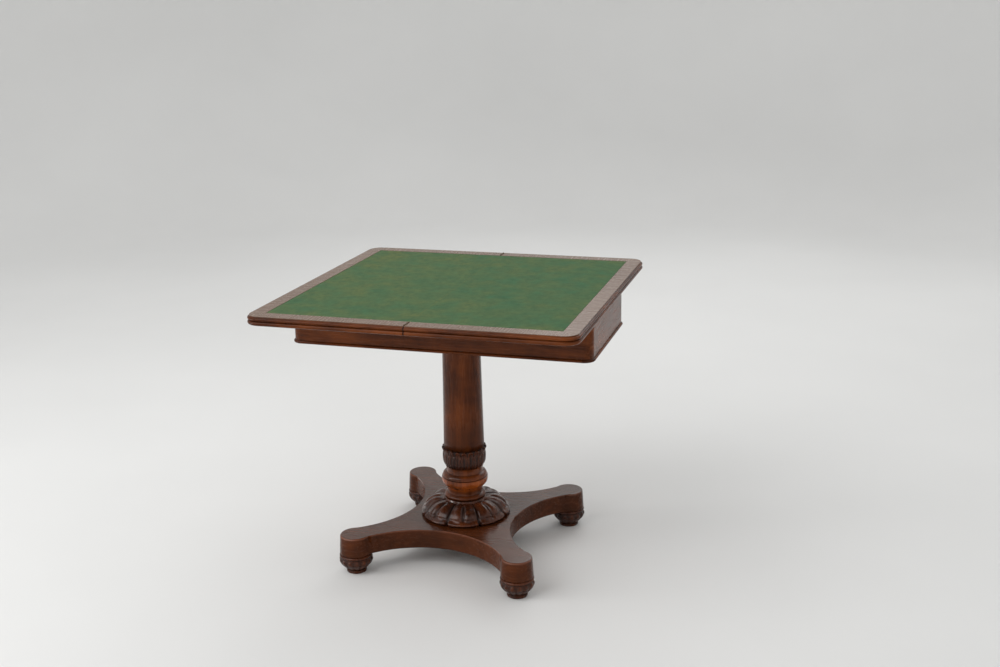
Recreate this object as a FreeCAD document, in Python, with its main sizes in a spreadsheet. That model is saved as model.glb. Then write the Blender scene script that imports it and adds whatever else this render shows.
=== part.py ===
import FreeCAD, Part
import math
import os
from types import SimpleNamespace

import Sketcher
from FreeCAD import Placement, Rotation, Vector

# Swivel-top folding card table on a column and a four-armed platform, opened for play.
# Millimetres, +Z up, origin on the floor under the column. The two leaves meet over X = 0,
# the frieze box runs along X, and the top turns about a stud behind and right of the centre.

SIZES = {
    # top: two equal leaves, reeded on three edges
    "table_height": 740,
    "leaf_length": 824,
    "leaf_width": 412,
    "leaf_thick": 23,
    "seam_gap": 1,
    "corner_radius": 38,
    "reed_low_radius": 5.2,
    "reed_top_radius": 3.9,
    "reed_quirk": 1.2,
    "lip_step": 1.1,
    "band_width": 38,
    "band_thick": 1.2,
    "baize_thick": 1.0,
    # hinges at the two ends of the seam
    "fold_clear": 0.1,
    "hinge_setback": 10,
    "knuckle_length": 28,
    "knuckle_radius": 2.2,
    "knuckle_gap": 0.3,
    "hinge_clear": 0.4,
    "hinge_pin_radius": 0.9,
    "plate_length": 56,
    "plate_drop": 14,
    "plate_thick": 1.6,
    "hinge_screw_radius": 1.5,
    "hinge_screw_length": 16,
    "hinge_screw_head": 2.8,
    "hinge_screw_sink": 1.3,
    # pivot and stop under the turning leaf
    "swivel_clear": 0.3,
    "pivot_plate_side": 92,
    "pivot_plate_thick": 4,
    "pivot_screw_spread": 34,
    "pivot_screw_radius": 2.2,
    "pivot_screw_length": 15,
    "pivot_screw_head": 4.2,
    "pivot_screw_sink": 2.4,
    "stud_radius": 9,
    "stud_tail": 21,
    "bush_wall": 3,
    "pivot_washer_radius": 20,
    "pivot_washer_thick": 2.5,
    "pivot_nut_radius": 16,
    "pivot_nut_height": 13,
    "peg_radius": 6,
    "peg_gap": 5.2,
    "peg_drop": 16,
    "peg_socket": 10,
    # frieze box
    "frieze_overhang": 17.5,
    "frieze_height": 105.5,
    "frieze_corner": 24,
    "rail_thick": 22,
    "bead_radius": 4,
    "housing_depth": 8,
    "pivot_bearer_thick": 24,
    "column_bearer_width": 170,
    "column_bearer_thick": 28,
    "bearer_lift": 4,
    "floor_thick": 8,
    "ledger_side": 12,
    "partition_thick": 8,
    "block_leg": 36,
    "block_drop": 2,
    # column and its turned mouldings
    "shaft_top_radius": 50,
    "shaft_foot_radius": 54.5,
    "tenon_radius": 28,
    "spigot_radius": 24,
    "spigot_depth": 88,
    "collar_height": 52,
    "collar_radius": 59.5,
    "collar_foot_radius": 51.5,
    "collar_flare": 17,
    "collar_swell": 22,
    "collar_roll": 4,
    "collar_leaves": 20,
    "knop_height": 91,
    "knop_ring_radius": 6.5,
    "knop_ring_seat": 49,
    "knop_neck_radius": 46.5,
    "knop_neck_height": 20,
    "knop_neck_curve": 40,
    "belly_height": 26,
    "belly_foot_radius": 50,
    "belly_top_radius": 58.5,
    "belly_curve": 16,
    "quirk_depth": 2,
    "quirk_height": 1.2,
    "upper_bead_height": 12,
    "upper_bead_curve": 10,
    "waist_radius": 50,
    "waist_curve": 28,
    "boss_height": 48,
    "boss_radius": 117.5,
    "boss_rim_height": 9,
    "boss_rim_curve": 9,
    "boss_undercut": 7,
    "boss_top_radius": 58,
    "boss_curve": 75,
    "boss_groove_radius": 5,
    "boss_petals": 8,
    "boss_turn": -5,
    "base_spigot_radius": 26,
    "base_spigot_depth": 68,
    # platform and feet
    "pedestal_turn": -3.2,
    "platform_bottom": 51.5,
    "platform_thick": 53.5,
    "platform_mid": 142,
    "foot_spread": 225.6,
    "drum_radius": 42.5,
    "drum_draft": 2.8,
    "drum_round": 4,
    "foot_ring_radius": 27.5,
    "foot_ring_height": 9,
    "foot_neck_radius": 26.5,
    "foot_cup_height": 19,
    "foot_cup_curve": 60,
    "foot_band_radius": 42.6,
    "foot_band_height": 15,
    "foot_band_curve": 13,
    "foot_groove": 1.2,
    "foot_top_ring_radius": 43.4,
    "dowel_radius": 12,
    "dowel_length": 26,
    # tie rod through the column
    "rod_radius": 6,
    "rod_tail": 3,
    "tie_recess_radius": 18,
    "tie_recess_depth": 22,
    "tie_washer_radius": 16.5,
    "tie_washer_thick": 3,
    "tie_nut_radius": 11,
    "tie_nut_height": 10,
    # clearances
    "joinery_clear": 0.1,
    "running_fit": 0.05,
}

HALF = math.sqrt(0.5)
QUARTER_TURN = 90
HALF_TURN = 180
FEET = 4
GROOVE_SWEEP = 110
SCREWS_PER_PLATE = 3
NECK_ALONG = 0.61
NECK_ACROSS = 0.56

doc = FreeCAD.newDocument("FoldingCardTable")
sheet = doc.addObject("Spreadsheet::Sheet", "Sizes")
for row, (name, number) in enumerate(SIZES.items(), start=1):
    sheet.set(f"A{row}", name)
    sheet.set(f"B{row}", str(number))
    sheet.setAlias(f"B{row}", name)
doc.recompute()


class Size:
    """A length that carries its present value and the expression that ties it to the sheet."""

    def __init__(self, value, text):
        self.value = value
        self.text = text

    def __add__(self, other):
        other = as_size(other)
        return Size(self.value + other.value, f"({self.text} + {other.text})")

    def __sub__(self, other):
        other = as_size(other)
        return Size(self.value - other.value, f"({self.text} - {other.text})")

    def __mul__(self, other):
        other = as_size(other)
        return Size(self.value * other.value, f"({self.text} * {other.text})")

    def __truediv__(self, other):
        other = as_size(other)
        return Size(self.value / other.value, f"({self.text} / {other.text})")

    def __radd__(self, other):
        return as_size(other) + self

    def __rsub__(self, other):
        return as_size(other) - self

    def __rmul__(self, other):
        return as_size(other) * self

    def __neg__(self):
        return as_size(0) - self


def as_size(number):
    """Wraps a plain number so that it can be joined with sheet sizes."""
    if isinstance(number, Size):
        return number
    return Size(float(number), repr(float(number)))


def root(length):
    """Square root of a size."""
    return Size(math.sqrt(length.value), f"sqrt({length.text})")


def larger(first, second):
    """The larger of two sizes."""
    return Size(max(first.value, second.value), f"max({first.text}; {second.text})")


def bow_radius(half_chord, rise):
    """Radius of the arc that rises by rise over a chord of twice half_chord."""
    return (half_chord * half_chord + rise * rise) / (2 * rise)


def bind(thing, prop, length):
    """Ties one property of a document object to the sheet."""
    thing.setExpression(prop, as_size(length).text)


s = SimpleNamespace(**{name: Size(float(number), f"Sizes.{name}") for name, number in SIZES.items()})

# Levels
leaf_bottom = s.table_height - s.leaf_thick
core_top = s.table_height - s.band_thick
fold_height = s.table_height + s.fold_clear
frieze_top = leaf_bottom - s.swivel_clear
frieze_bottom = frieze_top - s.frieze_height
bearer_bottom = frieze_bottom + s.bearer_lift
bearer_top = bearer_bottom + s.column_bearer_thick
floor_top = bearer_top + s.floor_thick
pivot_bearer_bottom = frieze_top - s.pivot_bearer_thick
platform_top = s.platform_bottom + s.platform_thick
boss_top = platform_top + s.boss_height
knop_top = boss_top + s.knop_height
collar_top = knop_top + s.collar_height

# Plan of the top: the flat upper face stops where the reeds begin
seam = s.seam_gap / 2
face_half = s.leaf_length / 2 - s.reed_low_radius
face_width = s.leaf_width - s.reed_low_radius
face_corner = s.corner_radius - s.reed_low_radius

# Plan of the frieze, which the closed top overhangs evenly
frieze_x = s.leaf_length / 2 - s.frieze_overhang
frieze_y = s.leaf_width / 2 - s.frieze_overhang
inner_x = frieze_x - s.rail_thick
inner_y = frieze_y - s.rail_thick

# The pivot lies a quarter of a leaf's width from both centre lines, so a quarter turn of the
# folded top brings it square over the frieze
pivot = s.leaf_width / 4

# The stop peg stands beside the pivot plate and the bearer, whichever is wider: it meets the back
# rail with the top open, and the side of the bearer with the top turned
peg_y = inner_y - s.peg_radius - s.swivel_clear
peg_swing = peg_y - pivot
pivot_bearer_half = peg_swing - s.peg_radius - s.swivel_clear
peg_x = pivot + larger(peg_swing, s.pivot_plate_side / 2 + s.peg_gap + s.peg_radius)

# Hinges
knuckle_end = s.leaf_length / 2 - s.hinge_setback
plate_top = fold_height - s.knuckle_radius - s.hinge_clear
plate_bottom = plate_top - s.plate_drop
plate_middle = (plate_top + plate_bottom) / 2
segment = (s.knuckle_length - 2 * s.knuckle_gap) / 3

rod_hole = s.rod_radius + s.joinery_clear

AXES = {
    "x": Rotation(Vector(0, 1, 0), QUARTER_TURN),
    "-x": Rotation(Vector(0, 1, 0), -QUARTER_TURN),
    "y": Rotation(Vector(1, 0, 0), -QUARTER_TURN),
    "z": Rotation(),
    "-z": Rotation(Vector(1, 0, 0), HALF_TURN),
}

nodes = []


def keep(thing, label):
    """Names a finished sub-part and lists it for writing out."""
    thing.Label = label
    nodes.append(thing)
    doc.recompute()
    return thing


def place(thing, spot, rotation=None):
    """Ties a placement's base to sheet sizes, with a fixed rotation."""
    thing.Placement = Placement(Vector(), rotation or Rotation())
    for axis, length in zip("xyz", spot):
        bind(thing, f"Placement.Base.{axis}", length)


def spin(thing, degrees):
    """Turns a sub-part about the column's axis by a sheet angle."""
    thing.Placement = Placement(Vector(), Rotation(Vector(0, 0, 1), degrees.value))
    bind(thing, "Placement.Rotation.Angle", degrees)


def new_body(name):
    """Starts a solid made of sketched features."""
    return doc.addObject("PartDesign::Body", name)


def origin_feature(body, role):
    """One of a body's own origin planes or axes."""
    return next(feature for feature in body.Origin.OriginFeatures if feature.Role == role)


def new_sketch(body, role, shift=(0, 0, 0)):
    """Starts a sketch on one of the body's origin planes, moved by a sheet shift."""
    sketch = body.newObject("Sketcher::SketchObject", "Sketch")
    sketch.AttachmentSupport = [(origin_feature(body, role), "")]
    sketch.MapMode = "FlatFace"
    for axis, length in zip("xyz", shift):
        bind(sketch, f"AttachmentOffset.Base.{axis}", length)
    return sketch


def add_arc(sketch, start, end, bend):
    """Adds an arc between two points; returns its index and which of its ends is the start."""
    radius, turn = bend
    a = Vector(start[0].value, start[1].value, 0)
    b = Vector(end[0].value, end[1].value, 0)
    chord = b - a
    half_chord = chord.Length / 2
    reach = half_chord if radius is None else radius.value
    away = math.sqrt(max(reach * reach - half_chord * half_chord, 0))
    left = Vector(-chord.y, chord.x, 0).normalize()
    centre = (a + b) / 2 + left * (away * turn)
    first, last = (a, b) if turn > 0 else (b, a)
    begin = math.atan2(first.y - centre.y, first.x - centre.x)
    finish = math.atan2(last.y - centre.y, last.x - centre.x)
    circle = Part.Circle(centre, Vector(0, 0, 1), reach)
    index = sketch.addGeometry(Part.ArcOfCircle(circle, begin, finish), False)
    return index, 1 if turn > 0 else 2


def pin_point(sketch, index, end, spot):
    """Ties one end of a sketch line to sheet coordinates."""
    for kind, axis, length in (("DistanceX", -2, spot[0]), ("DistanceY", -1, spot[1])):
        if length.value == 0:
            sketch.addConstraint(Sketcher.Constraint("PointOnObject", index, end, axis))
            continue
        number = sketch.addConstraint(Sketcher.Constraint(kind, -1, 1, index, end, length.value))
        bind(sketch, f"Constraints[{number}]", length)


def outline(sketch, corners, bends=None, closed=True):
    """Draws an outline through corners; bends gives sides that are arcs as (radius, turn).

    A radius of None is a half circle, and a turn of 1 goes anticlockwise.
    """
    bends = bends or {}
    corners = [(as_size(x), as_size(y)) for x, y in corners]
    last_side = len(corners) if closed else len(corners) - 1
    sides = []
    for number in range(last_side):
        start = corners[number]
        end = corners[(number + 1) % len(corners)]
        if number in bends:
            index, start_end = add_arc(sketch, start, end, bends[number])
            sides.append((index, start_end, 3 - start_end, bends[number][0]))
        else:
            first = Vector(start[0].value, start[1].value, 0)
            last = Vector(end[0].value, end[1].value, 0)
            sides.append((sketch.addGeometry(Part.LineSegment(first, last), False), 1, 2, None))
    for number, (index, start_end, finish_end, radius) in enumerate(sides):
        pin_point(sketch, index, start_end, corners[number])
        if number + 1 < len(sides) or closed:
            follower = sides[(number + 1) % len(sides)]
            meeting = Sketcher.Constraint("Coincident", index, finish_end, follower[0], follower[1])
            sketch.addConstraint(meeting)
        else:
            pin_point(sketch, index, finish_end, corners[number + 1])
        if number not in bends:
            continue
        if radius is None:
            sketch.addConstraint(Sketcher.Constraint("Symmetric", index, 1, index, 2, index, 3))
        else:
            constraint = sketch.addConstraint(Sketcher.Constraint("Radius", index, radius.value))
            bind(sketch, f"Constraints[{constraint}]", radius)
    return sketch


def pad(body, sketch, height):
    """Raises a sketch into a solid."""
    feature = body.newObject("PartDesign::Pad", "Pad")
    feature.Profile = sketch
    bind(feature, "Length", height)
    return feature


def turn(body, sketch):
    """Turns a profile drawn as radius and height about its own upright axis."""
    feature = body.newObject("PartDesign::Revolution", "Turning")
    feature.Profile = sketch
    feature.ReferenceAxis = (sketch, ["V_Axis"])
    feature.Angle = 2 * HALF_TURN
    return feature


def repeat_round(body, feature, count):
    """Repeats a feature evenly round the body's upright axis."""
    doc.recompute()
    pattern = body.newObject("PartDesign::PolarPattern", "Round")
    pattern.Originals = [feature]
    pattern.Axis = (origin_feature(body, "Z_Axis"), [""])
    pattern.Angle = 2 * HALF_TURN
    bind(pattern, "Occurrences", count)
    body.Tip = pattern
    return pattern


def cut_box(body, low, spans):
    """Cuts a square mortise."""
    feature = body.newObject("PartDesign::SubtractiveBox", "Mortise")
    for prop, span in zip(("Length", "Width", "Height"), spans):
        bind(feature, prop, span)
    place(feature, low)
    return feature


def cut_rod(body, foot, axis, radius, length):
    """Bores a round hole that starts at foot and runs along an axis."""
    feature = body.newObject("PartDesign::SubtractiveCylinder", "Bore")
    bind(feature, "Radius", radius)
    bind(feature, "Height", length)
    place(feature, foot, AXES[axis])
    return feature


def box(low, spans):
    """A plain squared piece."""
    feature = doc.addObject("Part::Box", "Piece")
    for prop, span in zip(("Length", "Width", "Height"), spans):
        bind(feature, prop, span)
    place(feature, low)
    return feature


def rod(foot, axis, radius, length):
    """A plain round piece."""
    feature = doc.addObject("Part::Cylinder", "Rod")
    bind(feature, "Radius", radius)
    bind(feature, "Height", length)
    place(feature, foot, AXES[axis])
    return feature


def cone(foot, axis, near_radius, far_radius, length):
    """A tapered round piece."""
    feature = doc.addObject("Part::Cone", "Taper")
    bind(feature, "Radius1", near_radius)
    bind(feature, "Radius2", far_radius)
    bind(feature, "Height", length)
    place(feature, foot, AXES[axis])
    return feature


def joined(pieces):
    """Joins overlapping pieces into one solid."""
    feature = doc.addObject("Part::MultiFuse", "Joined")
    feature.Shapes = pieces
    feature.Refine = True
    return feature


def trimmed(piece, tools):
    """Cuts tools out of a piece."""
    feature = doc.addObject("Part::Cut", "Trimmed")
    feature.Base = piece
    feature.Tool = joined(tools) if len(tools) > 1 else tools[0]
    return feature


def gathered(pieces):
    """Keeps like pieces together as separate solids."""
    feature = doc.addObject("Part::Compound", "Set")
    feature.Links = pieces
    return feature


def screw(seat, axis, sizes, clear=0):
    """A countersunk screw, or with a clearance the hole that it goes in."""
    radius, length, head, sink = sizes
    taper = cone(seat, axis, head + clear, radius + clear, sink)
    shank = rod(seat, axis, radius + clear, length + clear)
    return joined([taper, shank])


def hinge_start(end):
    """Where a hinge's knuckles begin along the seam; end is -1 at the front and 1 at the back."""
    return knuckle_end - s.knuckle_length if end > 0 else -knuckle_end


def plate_start(end):
    """Where a hinge's plate begins along the seam: flush with the knuckles at the outer end."""
    return knuckle_end - s.plate_length if end > 0 else -knuckle_end


def hinge_screw_spots(end):
    """Distances along the seam of one plate's screws."""
    pitch = s.plate_length / SCREWS_PER_PLATE
    return [plate_start(end) + pitch * (number + 0.5) for number in range(SCREWS_PER_PLATE)]


def cut_knuckle_notch(body, end):
    """Clears the room in which the knuckles of one hinge turn."""
    foot = (as_size(0), hinge_start(end) - s.hinge_clear, fold_height)
    cut_rod(body, foot, "y", s.knuckle_radius + s.hinge_clear, s.knuckle_length + 2 * s.hinge_clear)


def make_leaf(label, side):
    """Core of one leaf with its reeded edge; side is 1 for the turning leaf and -1 for the flap."""
    body = new_body(label)
    far = side * face_width
    rim = [
        (side * seam, -face_half),
        (far - side * face_corner, -face_half),
        (far, face_corner - face_half),
        (far, face_half - face_corner),
        (far - side * face_corner, face_half),
        (side * seam, face_half),
    ]
    bends = {1: (face_corner, side), 3: (face_corner, side)}
    pad(body, outline(new_sketch(body, "XY_Plane", (0, 0, leaf_bottom)), rim, bends), core_top - leaf_bottom)

    path = outline(new_sketch(body, "XY_Plane", (0, 0, leaf_bottom)), rim, bends, closed=False)
    low_top = leaf_bottom + 2 * s.reed_low_radius
    upper_foot = low_top + s.reed_quirk
    upper_top = upper_foot + 2 * s.reed_top_radius
    inside = s.reed_low_radius - face_half
    profile = [
        (inside, leaf_bottom),
        (-face_half, leaf_bottom),
        (-face_half, low_top),
        (-face_half, upper_foot),
        (-face_half - s.lip_step, upper_foot),
        (-face_half - s.lip_step, upper_top),
        (inside, upper_top),
    ]
    rounds = {1: (None, -1), 4: (None, -1)}
    reeds = outline(new_sketch(body, "YZ_Plane", (0, 0, side * seam)), profile, rounds)
    doc.recompute()
    sweep = body.newObject("PartDesign::AdditivePipe", "ReededEdge")
    sweep.Profile = reeds
    sweep.Spine = (path, [f"Edge{number}" for number in range(1, len(rim))])
    doc.recompute()

    for end in (-1, 1):
        cut_knuckle_notch(body, end)
        low_x = seam if side > 0 else -seam - s.plate_thick
        mortise_foot = plate_bottom - s.joinery_clear
        cut_box(
            body,
            (low_x, plate_start(end) - s.joinery_clear, mortise_foot),
            (s.plate_thick, s.plate_length + 2 * s.joinery_clear, core_top - mortise_foot),
        )
        for spot in hinge_screw_spots(end):
            cut_rod(
                body,
                (side * seam, spot, plate_middle),
                "x" if side > 0 else "-x",
                s.hinge_screw_radius + s.joinery_clear,
                s.hinge_screw_length + s.joinery_clear,
            )
    return body


def make_turning_leaf():
    """The leaf that stays down: it carries the pivot plate and the stop peg."""
    body = make_leaf("fixed_leaf", 1)
    clear = s.joinery_clear
    low = pivot - s.pivot_plate_side / 2 - clear
    side = s.pivot_plate_side + 2 * clear
    cut_box(body, (low, low, leaf_bottom), (side, side, s.pivot_plate_thick))
    for x, y in pivot_screw_spots():
        length = s.pivot_screw_length + clear
        cut_rod(body, (x, y, leaf_bottom), "z", s.pivot_screw_radius + clear, length)
    cut_rod(body, (peg_x, peg_y, leaf_bottom), "z", s.peg_radius + clear, s.peg_socket + clear)
    keep(body, "fixed_leaf")


def pivot_screw_spots():
    """Plan of the four screws of the pivot plate."""
    spread = s.pivot_screw_spread
    return [(pivot + x * spread, pivot + y * spread) for x in (-1, 1) for y in (-1, 1)]


def make_banding(side, name):
    """Three mitred strips of cross-cut veneer round one leaf's baize."""
    far = side * face_width
    mitre = face_corner * (1 - HALF)
    inner = far - side * s.band_width
    inner_half = face_half - s.band_width
    for end, part in ((-1, "front"), (1, "back")):
        corners = [
            (side * seam, end * face_half),
            (far - side * face_corner, end * face_half),
            (far - side * mitre, end * (face_half - mitre)),
            (inner, end * inner_half),
            (side * seam, end * inner_half),
        ]
        body = new_body(f"band_{part}_{name}")
        bends = {1: (face_corner, -side * end)}
        sketch = outline(new_sketch(body, "XY_Plane", (0, 0, core_top)), corners, bends)
        pad(body, sketch, s.band_thick)
        doc.recompute()
        cut_knuckle_notch(body, end)
        keep(body, f"band_{part}_{name}")
    corners = [
        (far, face_corner - face_half),
        (far, face_half - face_corner),
        (far - side * mitre, face_half - mitre),
        (inner, inner_half),
        (inner, -inner_half),
        (far - side * mitre, mitre - face_half),
    ]
    body = new_body(f"band_end_{name}")
    bends = {1: (face_corner, side), 5: (face_corner, side)}
    pad(body, outline(new_sketch(body, "XY_Plane", (0, 0, core_top)), corners, bends), s.band_thick)
    keep(body, f"band_end_{name}")


def make_baize(side, name):
    """Green cloth glued inside the banding of one leaf."""
    width = face_width - s.band_width - seam
    low_x = seam if side > 0 else -seam - width
    inner_half = face_half - s.band_width
    keep(box((low_x, -inner_half, core_top), (width, 2 * inner_half, s.baize_thick)), f"baize_{name}")


HINGE_SCREW = (s.hinge_screw_radius, s.hinge_screw_length, s.hinge_screw_head, s.hinge_screw_sink)
PIVOT_SCREW = (s.pivot_screw_radius, s.pivot_screw_length, s.pivot_screw_head, s.pivot_screw_sink)


def make_hinge_plate(end, part, side, name):
    """One plate of a butt hinge: two knuckles on the turning leaf, one on the flap."""
    low_x = seam if side > 0 else -seam - s.plate_thick
    pieces = [box((low_x, plate_start(end), plate_bottom), (s.plate_thick, s.plate_length, s.plate_drop))]
    for number in (0, 2) if side > 0 else (1,):
        start = hinge_start(end) + (segment + s.knuckle_gap) * number
        pieces.append(rod((as_size(0), start, fold_height), "y", s.knuckle_radius, segment))
        web = fold_height - s.hinge_pin_radius - plate_top
        pieces.append(box((low_x, start, plate_top), (s.plate_thick, segment, web)))
    bore = rod(
        (as_size(0), hinge_start(end) - s.hinge_clear, fold_height),
        "y",
        s.hinge_pin_radius + s.running_fit,
        s.knuckle_length + 2 * s.hinge_clear,
    )
    axis = "x" if side > 0 else "-x"
    holes = [
        screw((side * seam, spot, plate_middle), axis, HINGE_SCREW, s.joinery_clear)
        for spot in hinge_screw_spots(end)
    ]
    keep(trimmed(joined(pieces), [bore] + holes), f"hinge_{part}_{name}")


def make_hinges():
    """Butt hinges let into the seam, with their pins on the fold line, and their screws."""
    for end, part in ((-1, "front"), (1, "back")):
        for side, name in ((1, "fixed"), (-1, "flap")):
            make_hinge_plate(end, part, side, name)
        foot = (as_size(0), hinge_start(end), fold_height)
        keep(rod(foot, "y", s.hinge_pin_radius, s.knuckle_length), f"hinge_pin_{part}")
    for side, name, axis in ((1, "fixed", "x"), (-1, "flap", "-x")):
        screws = [
            screw((side * seam, spot, plate_middle), axis, HINGE_SCREW)
            for end in (-1, 1)
            for spot in hinge_screw_spots(end)
        ]
        keep(gathered(screws), f"hinge_screws_{name}")


def nut(spot, across, height, bore):
    """A six-sided nut standing on spot."""
    blank = doc.addObject("Part::Prism", "Nut")
    bind(blank, "Circumradius", across)
    bind(blank, "Height", height)
    place(blank, spot)
    return trimmed(blank, [rod(spot, "z", bore, height)])


def make_pivot():
    """Plate and stud under the turning leaf, held below the bearer by a washer and a nut."""
    half = s.pivot_plate_side / 2
    plate = box((pivot - half, pivot - half, leaf_bottom), (2 * half, 2 * half, s.pivot_plate_thick))
    stud_length = s.swivel_clear + s.pivot_bearer_thick + s.stud_tail
    stud = rod((pivot, pivot, leaf_bottom), "-z", s.stud_radius, stud_length)
    holes = [screw((x, y, leaf_bottom), "z", PIVOT_SCREW, s.joinery_clear) for x, y in pivot_screw_spots()]
    keep(trimmed(joined([plate, stud]), holes), "pivot_plate")
    screws = [screw((x, y, leaf_bottom), "z", PIVOT_SCREW) for x, y in pivot_screw_spots()]
    keep(gathered(screws), "pivot_screws")

    bore = s.stud_radius + s.running_fit
    bush_foot = (pivot, pivot, pivot_bearer_bottom)
    bush = rod(bush_foot, "z", s.stud_radius + s.bush_wall, s.pivot_bearer_thick)
    keep(trimmed(bush, [rod(bush_foot, "z", bore, s.pivot_bearer_thick)]), "pivot_bush")

    washer_foot = (pivot, pivot, pivot_bearer_bottom - s.swivel_clear - s.pivot_washer_thick)
    washer = rod(washer_foot, "z", s.pivot_washer_radius, s.pivot_washer_thick)
    keep(trimmed(washer, [rod(washer_foot, "z", bore, s.pivot_washer_thick)]), "pivot_washer")
    nut_foot = (pivot, pivot, washer_foot[2] - s.pivot_nut_height)
    keep(nut(nut_foot, s.pivot_nut_radius, s.pivot_nut_height, bore), "pivot_nut")

    peg_foot = (peg_x, peg_y, leaf_bottom - s.peg_drop)
    keep(rod(peg_foot, "z", s.peg_radius, s.peg_drop + s.peg_socket), "stop_peg")


def rail_sketch(body, along, across, end, upright):
    """Plan of one rail with mitred, rounded ends; an upright rail lies along Y instead of X."""
    mitre = s.frieze_corner * (1 - HALF)
    corners = [
        (s.frieze_corner - along, end * across),
        (along - s.frieze_corner, end * across),
        (along - mitre, end * (across - mitre)),
        (along - s.rail_thick, end * (across - s.rail_thick)),
        (s.rail_thick - along, end * (across - s.rail_thick)),
        (mitre - along, end * (across - mitre)),
    ]
    way = -end
    if upright:
        corners = [(y, x) for x, y in corners]
        way = end
    bends = {1: (s.frieze_corner, way), 5: (s.frieze_corner, way)}
    return outline(new_sketch(body, "XY_Plane", (0, 0, frieze_bottom)), corners, bends)


def cut_housings(body, end):
    """Housings in a long rail for the ends of the two bearers."""
    clear = s.joinery_clear
    depth = s.housing_depth + clear
    low_y = inner_y if end > 0 else -inner_y - depth
    cut_box(
        body,
        (pivot - pivot_bearer_half - clear, low_y, pivot_bearer_bottom - clear),
        (2 * (pivot_bearer_half + clear), depth, s.pivot_bearer_thick + clear),
    )
    half = s.column_bearer_width / 2 + clear
    cut_box(body, (-half, low_y, bearer_bottom - clear), (2 * half, depth, s.column_bearer_thick + 2 * clear))


def make_rails():
    """Four rails of the frieze box, mitred at rounded corners."""
    for label, end in (("rail_front", -1), ("rail_back", 1)):
        body = new_body(label)
        pad(body, rail_sketch(body, frieze_x, frieze_y, end, False), s.frieze_height)
        doc.recompute()
        cut_housings(body, end)
        keep(body, label)
    for label, end in (("rail_left", -1), ("rail_right", 1)):
        body = new_body(label)
        pad(body, rail_sketch(body, frieze_y, frieze_x, end, True), s.frieze_height)
        keep(body, label)


def half_round(foot, out, along, length):
    """A straight half-round moulding, flat side on a rail, round side facing out."""
    strip = doc.addObject("Part::Cylinder", "Bead")
    strip.Angle = HALF_TURN
    bind(strip, "Radius", s.bead_radius)
    bind(strip, "Height", length)
    place(strip, foot, Rotation(out.cross(along), out, along, "ZXY"))
    return strip


def make_beads():
    """Half-round bead along the foot of the frieze, with turned pieces at its corners."""
    level = frieze_bottom + s.bead_radius
    long_half = frieze_x - s.frieze_corner
    short_half = frieze_y - s.frieze_corner
    along_x = Vector(1, 0, 0)
    along_y = Vector(0, 1, 0)
    keep(half_round((-long_half, -frieze_y, level), -along_y, along_x, 2 * long_half), "bead_front")
    keep(half_round((-long_half, frieze_y, level), along_y, along_x, 2 * long_half), "bead_back")
    keep(half_round((-frieze_x, -short_half, level), -along_x, along_y, 2 * short_half), "bead_left")
    keep(half_round((frieze_x, -short_half, level), along_x, along_y, 2 * short_half), "bead_right")
    corners = (("back_right", 1, 1), ("back_left", -1, 1), ("front_left", -1, -1), ("front_right", 1, -1))
    for quarter, (name, x, y) in enumerate(corners):
        body = new_body(f"bead_{name}")
        profile = [(s.frieze_corner, -s.bead_radius), (s.frieze_corner, s.bead_radius)]
        sketch = outline(new_sketch(body, "XZ_Plane"), profile, {0: (None, 1)})
        piece = turn(body, sketch)
        piece.Angle = QUARTER_TURN
        turned = Rotation(Vector(0, 0, 1), QUARTER_TURN * quarter)
        place(body, (x * long_half, y * short_half, level), turned)
        keep(body, f"bead_{name}")


def make_corner_blocks():
    """Three-cornered glue blocks inside the frieze."""
    corners = (("front_left", -1, -1), ("front_right", 1, -1), ("back_left", -1, 1), ("back_right", 1, 1))
    for name, x, y in corners:
        body = new_body(f"corner_block_{name}")
        plan = [
            (x * inner_x, y * inner_y),
            (x * (inner_x - s.block_leg), y * inner_y),
            (x * inner_x, y * (inner_y - s.block_leg)),
        ]
        sketch = outline(new_sketch(body, "XY_Plane", (0, 0, floor_top)), plan)
        pad(body, sketch, frieze_top - s.block_drop - floor_top)
        keep(body, f"corner_block_{name}")


def make_frieze_floor():
    """Bearers housed in the long rails, the floor of the well on its ledgers, and the partition."""
    clear = s.joinery_clear
    reach = inner_y + s.housing_depth
    half = s.column_bearer_width / 2
    bearer = box((-half, -reach, bearer_bottom), (2 * half, 2 * reach, s.column_bearer_thick))
    mortise = rod((0, 0, bearer_bottom), "z", s.tenon_radius + clear, s.column_bearer_thick)
    keep(trimmed(bearer, [mortise]), "column_bearer")

    low = (pivot - pivot_bearer_half, -reach, pivot_bearer_bottom)
    bearer = box(low, (2 * pivot_bearer_half, 2 * reach, s.pivot_bearer_thick))
    bush_hole = s.stud_radius + s.bush_wall + clear
    hole = rod((pivot, pivot, pivot_bearer_bottom), "z", bush_hole, s.pivot_bearer_thick)
    keep(trimmed(bearer, [hole]), "pivot_bearer")

    spans = (2 * (inner_x - clear), 2 * (inner_y - clear), s.floor_thick)
    keep(box((clear - inner_x, clear - inner_y, bearer_top), spans), "well_floor")

    side = s.ledger_side
    level = bearer_top - side
    length = inner_x - half
    short = inner_y - side
    spots = [(x, y) for x in (-inner_x, half) for y in (-inner_y, inner_y - side)]
    strips = [box((x, y, level), (length, side, side)) for x, y in spots]
    strips += [box((x, -short, level), (side, 2 * short, side)) for x in (-inner_x, inner_x - side)]
    keep(gathered(strips), "floor_ledgers")

    low = (pivot - pivot_bearer_half - s.partition_thick, -inner_y, floor_top)
    spans = (s.partition_thick, 2 * inner_y, frieze_top - s.block_drop - floor_top)
    keep(box(low, spans), "well_partition")


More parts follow.
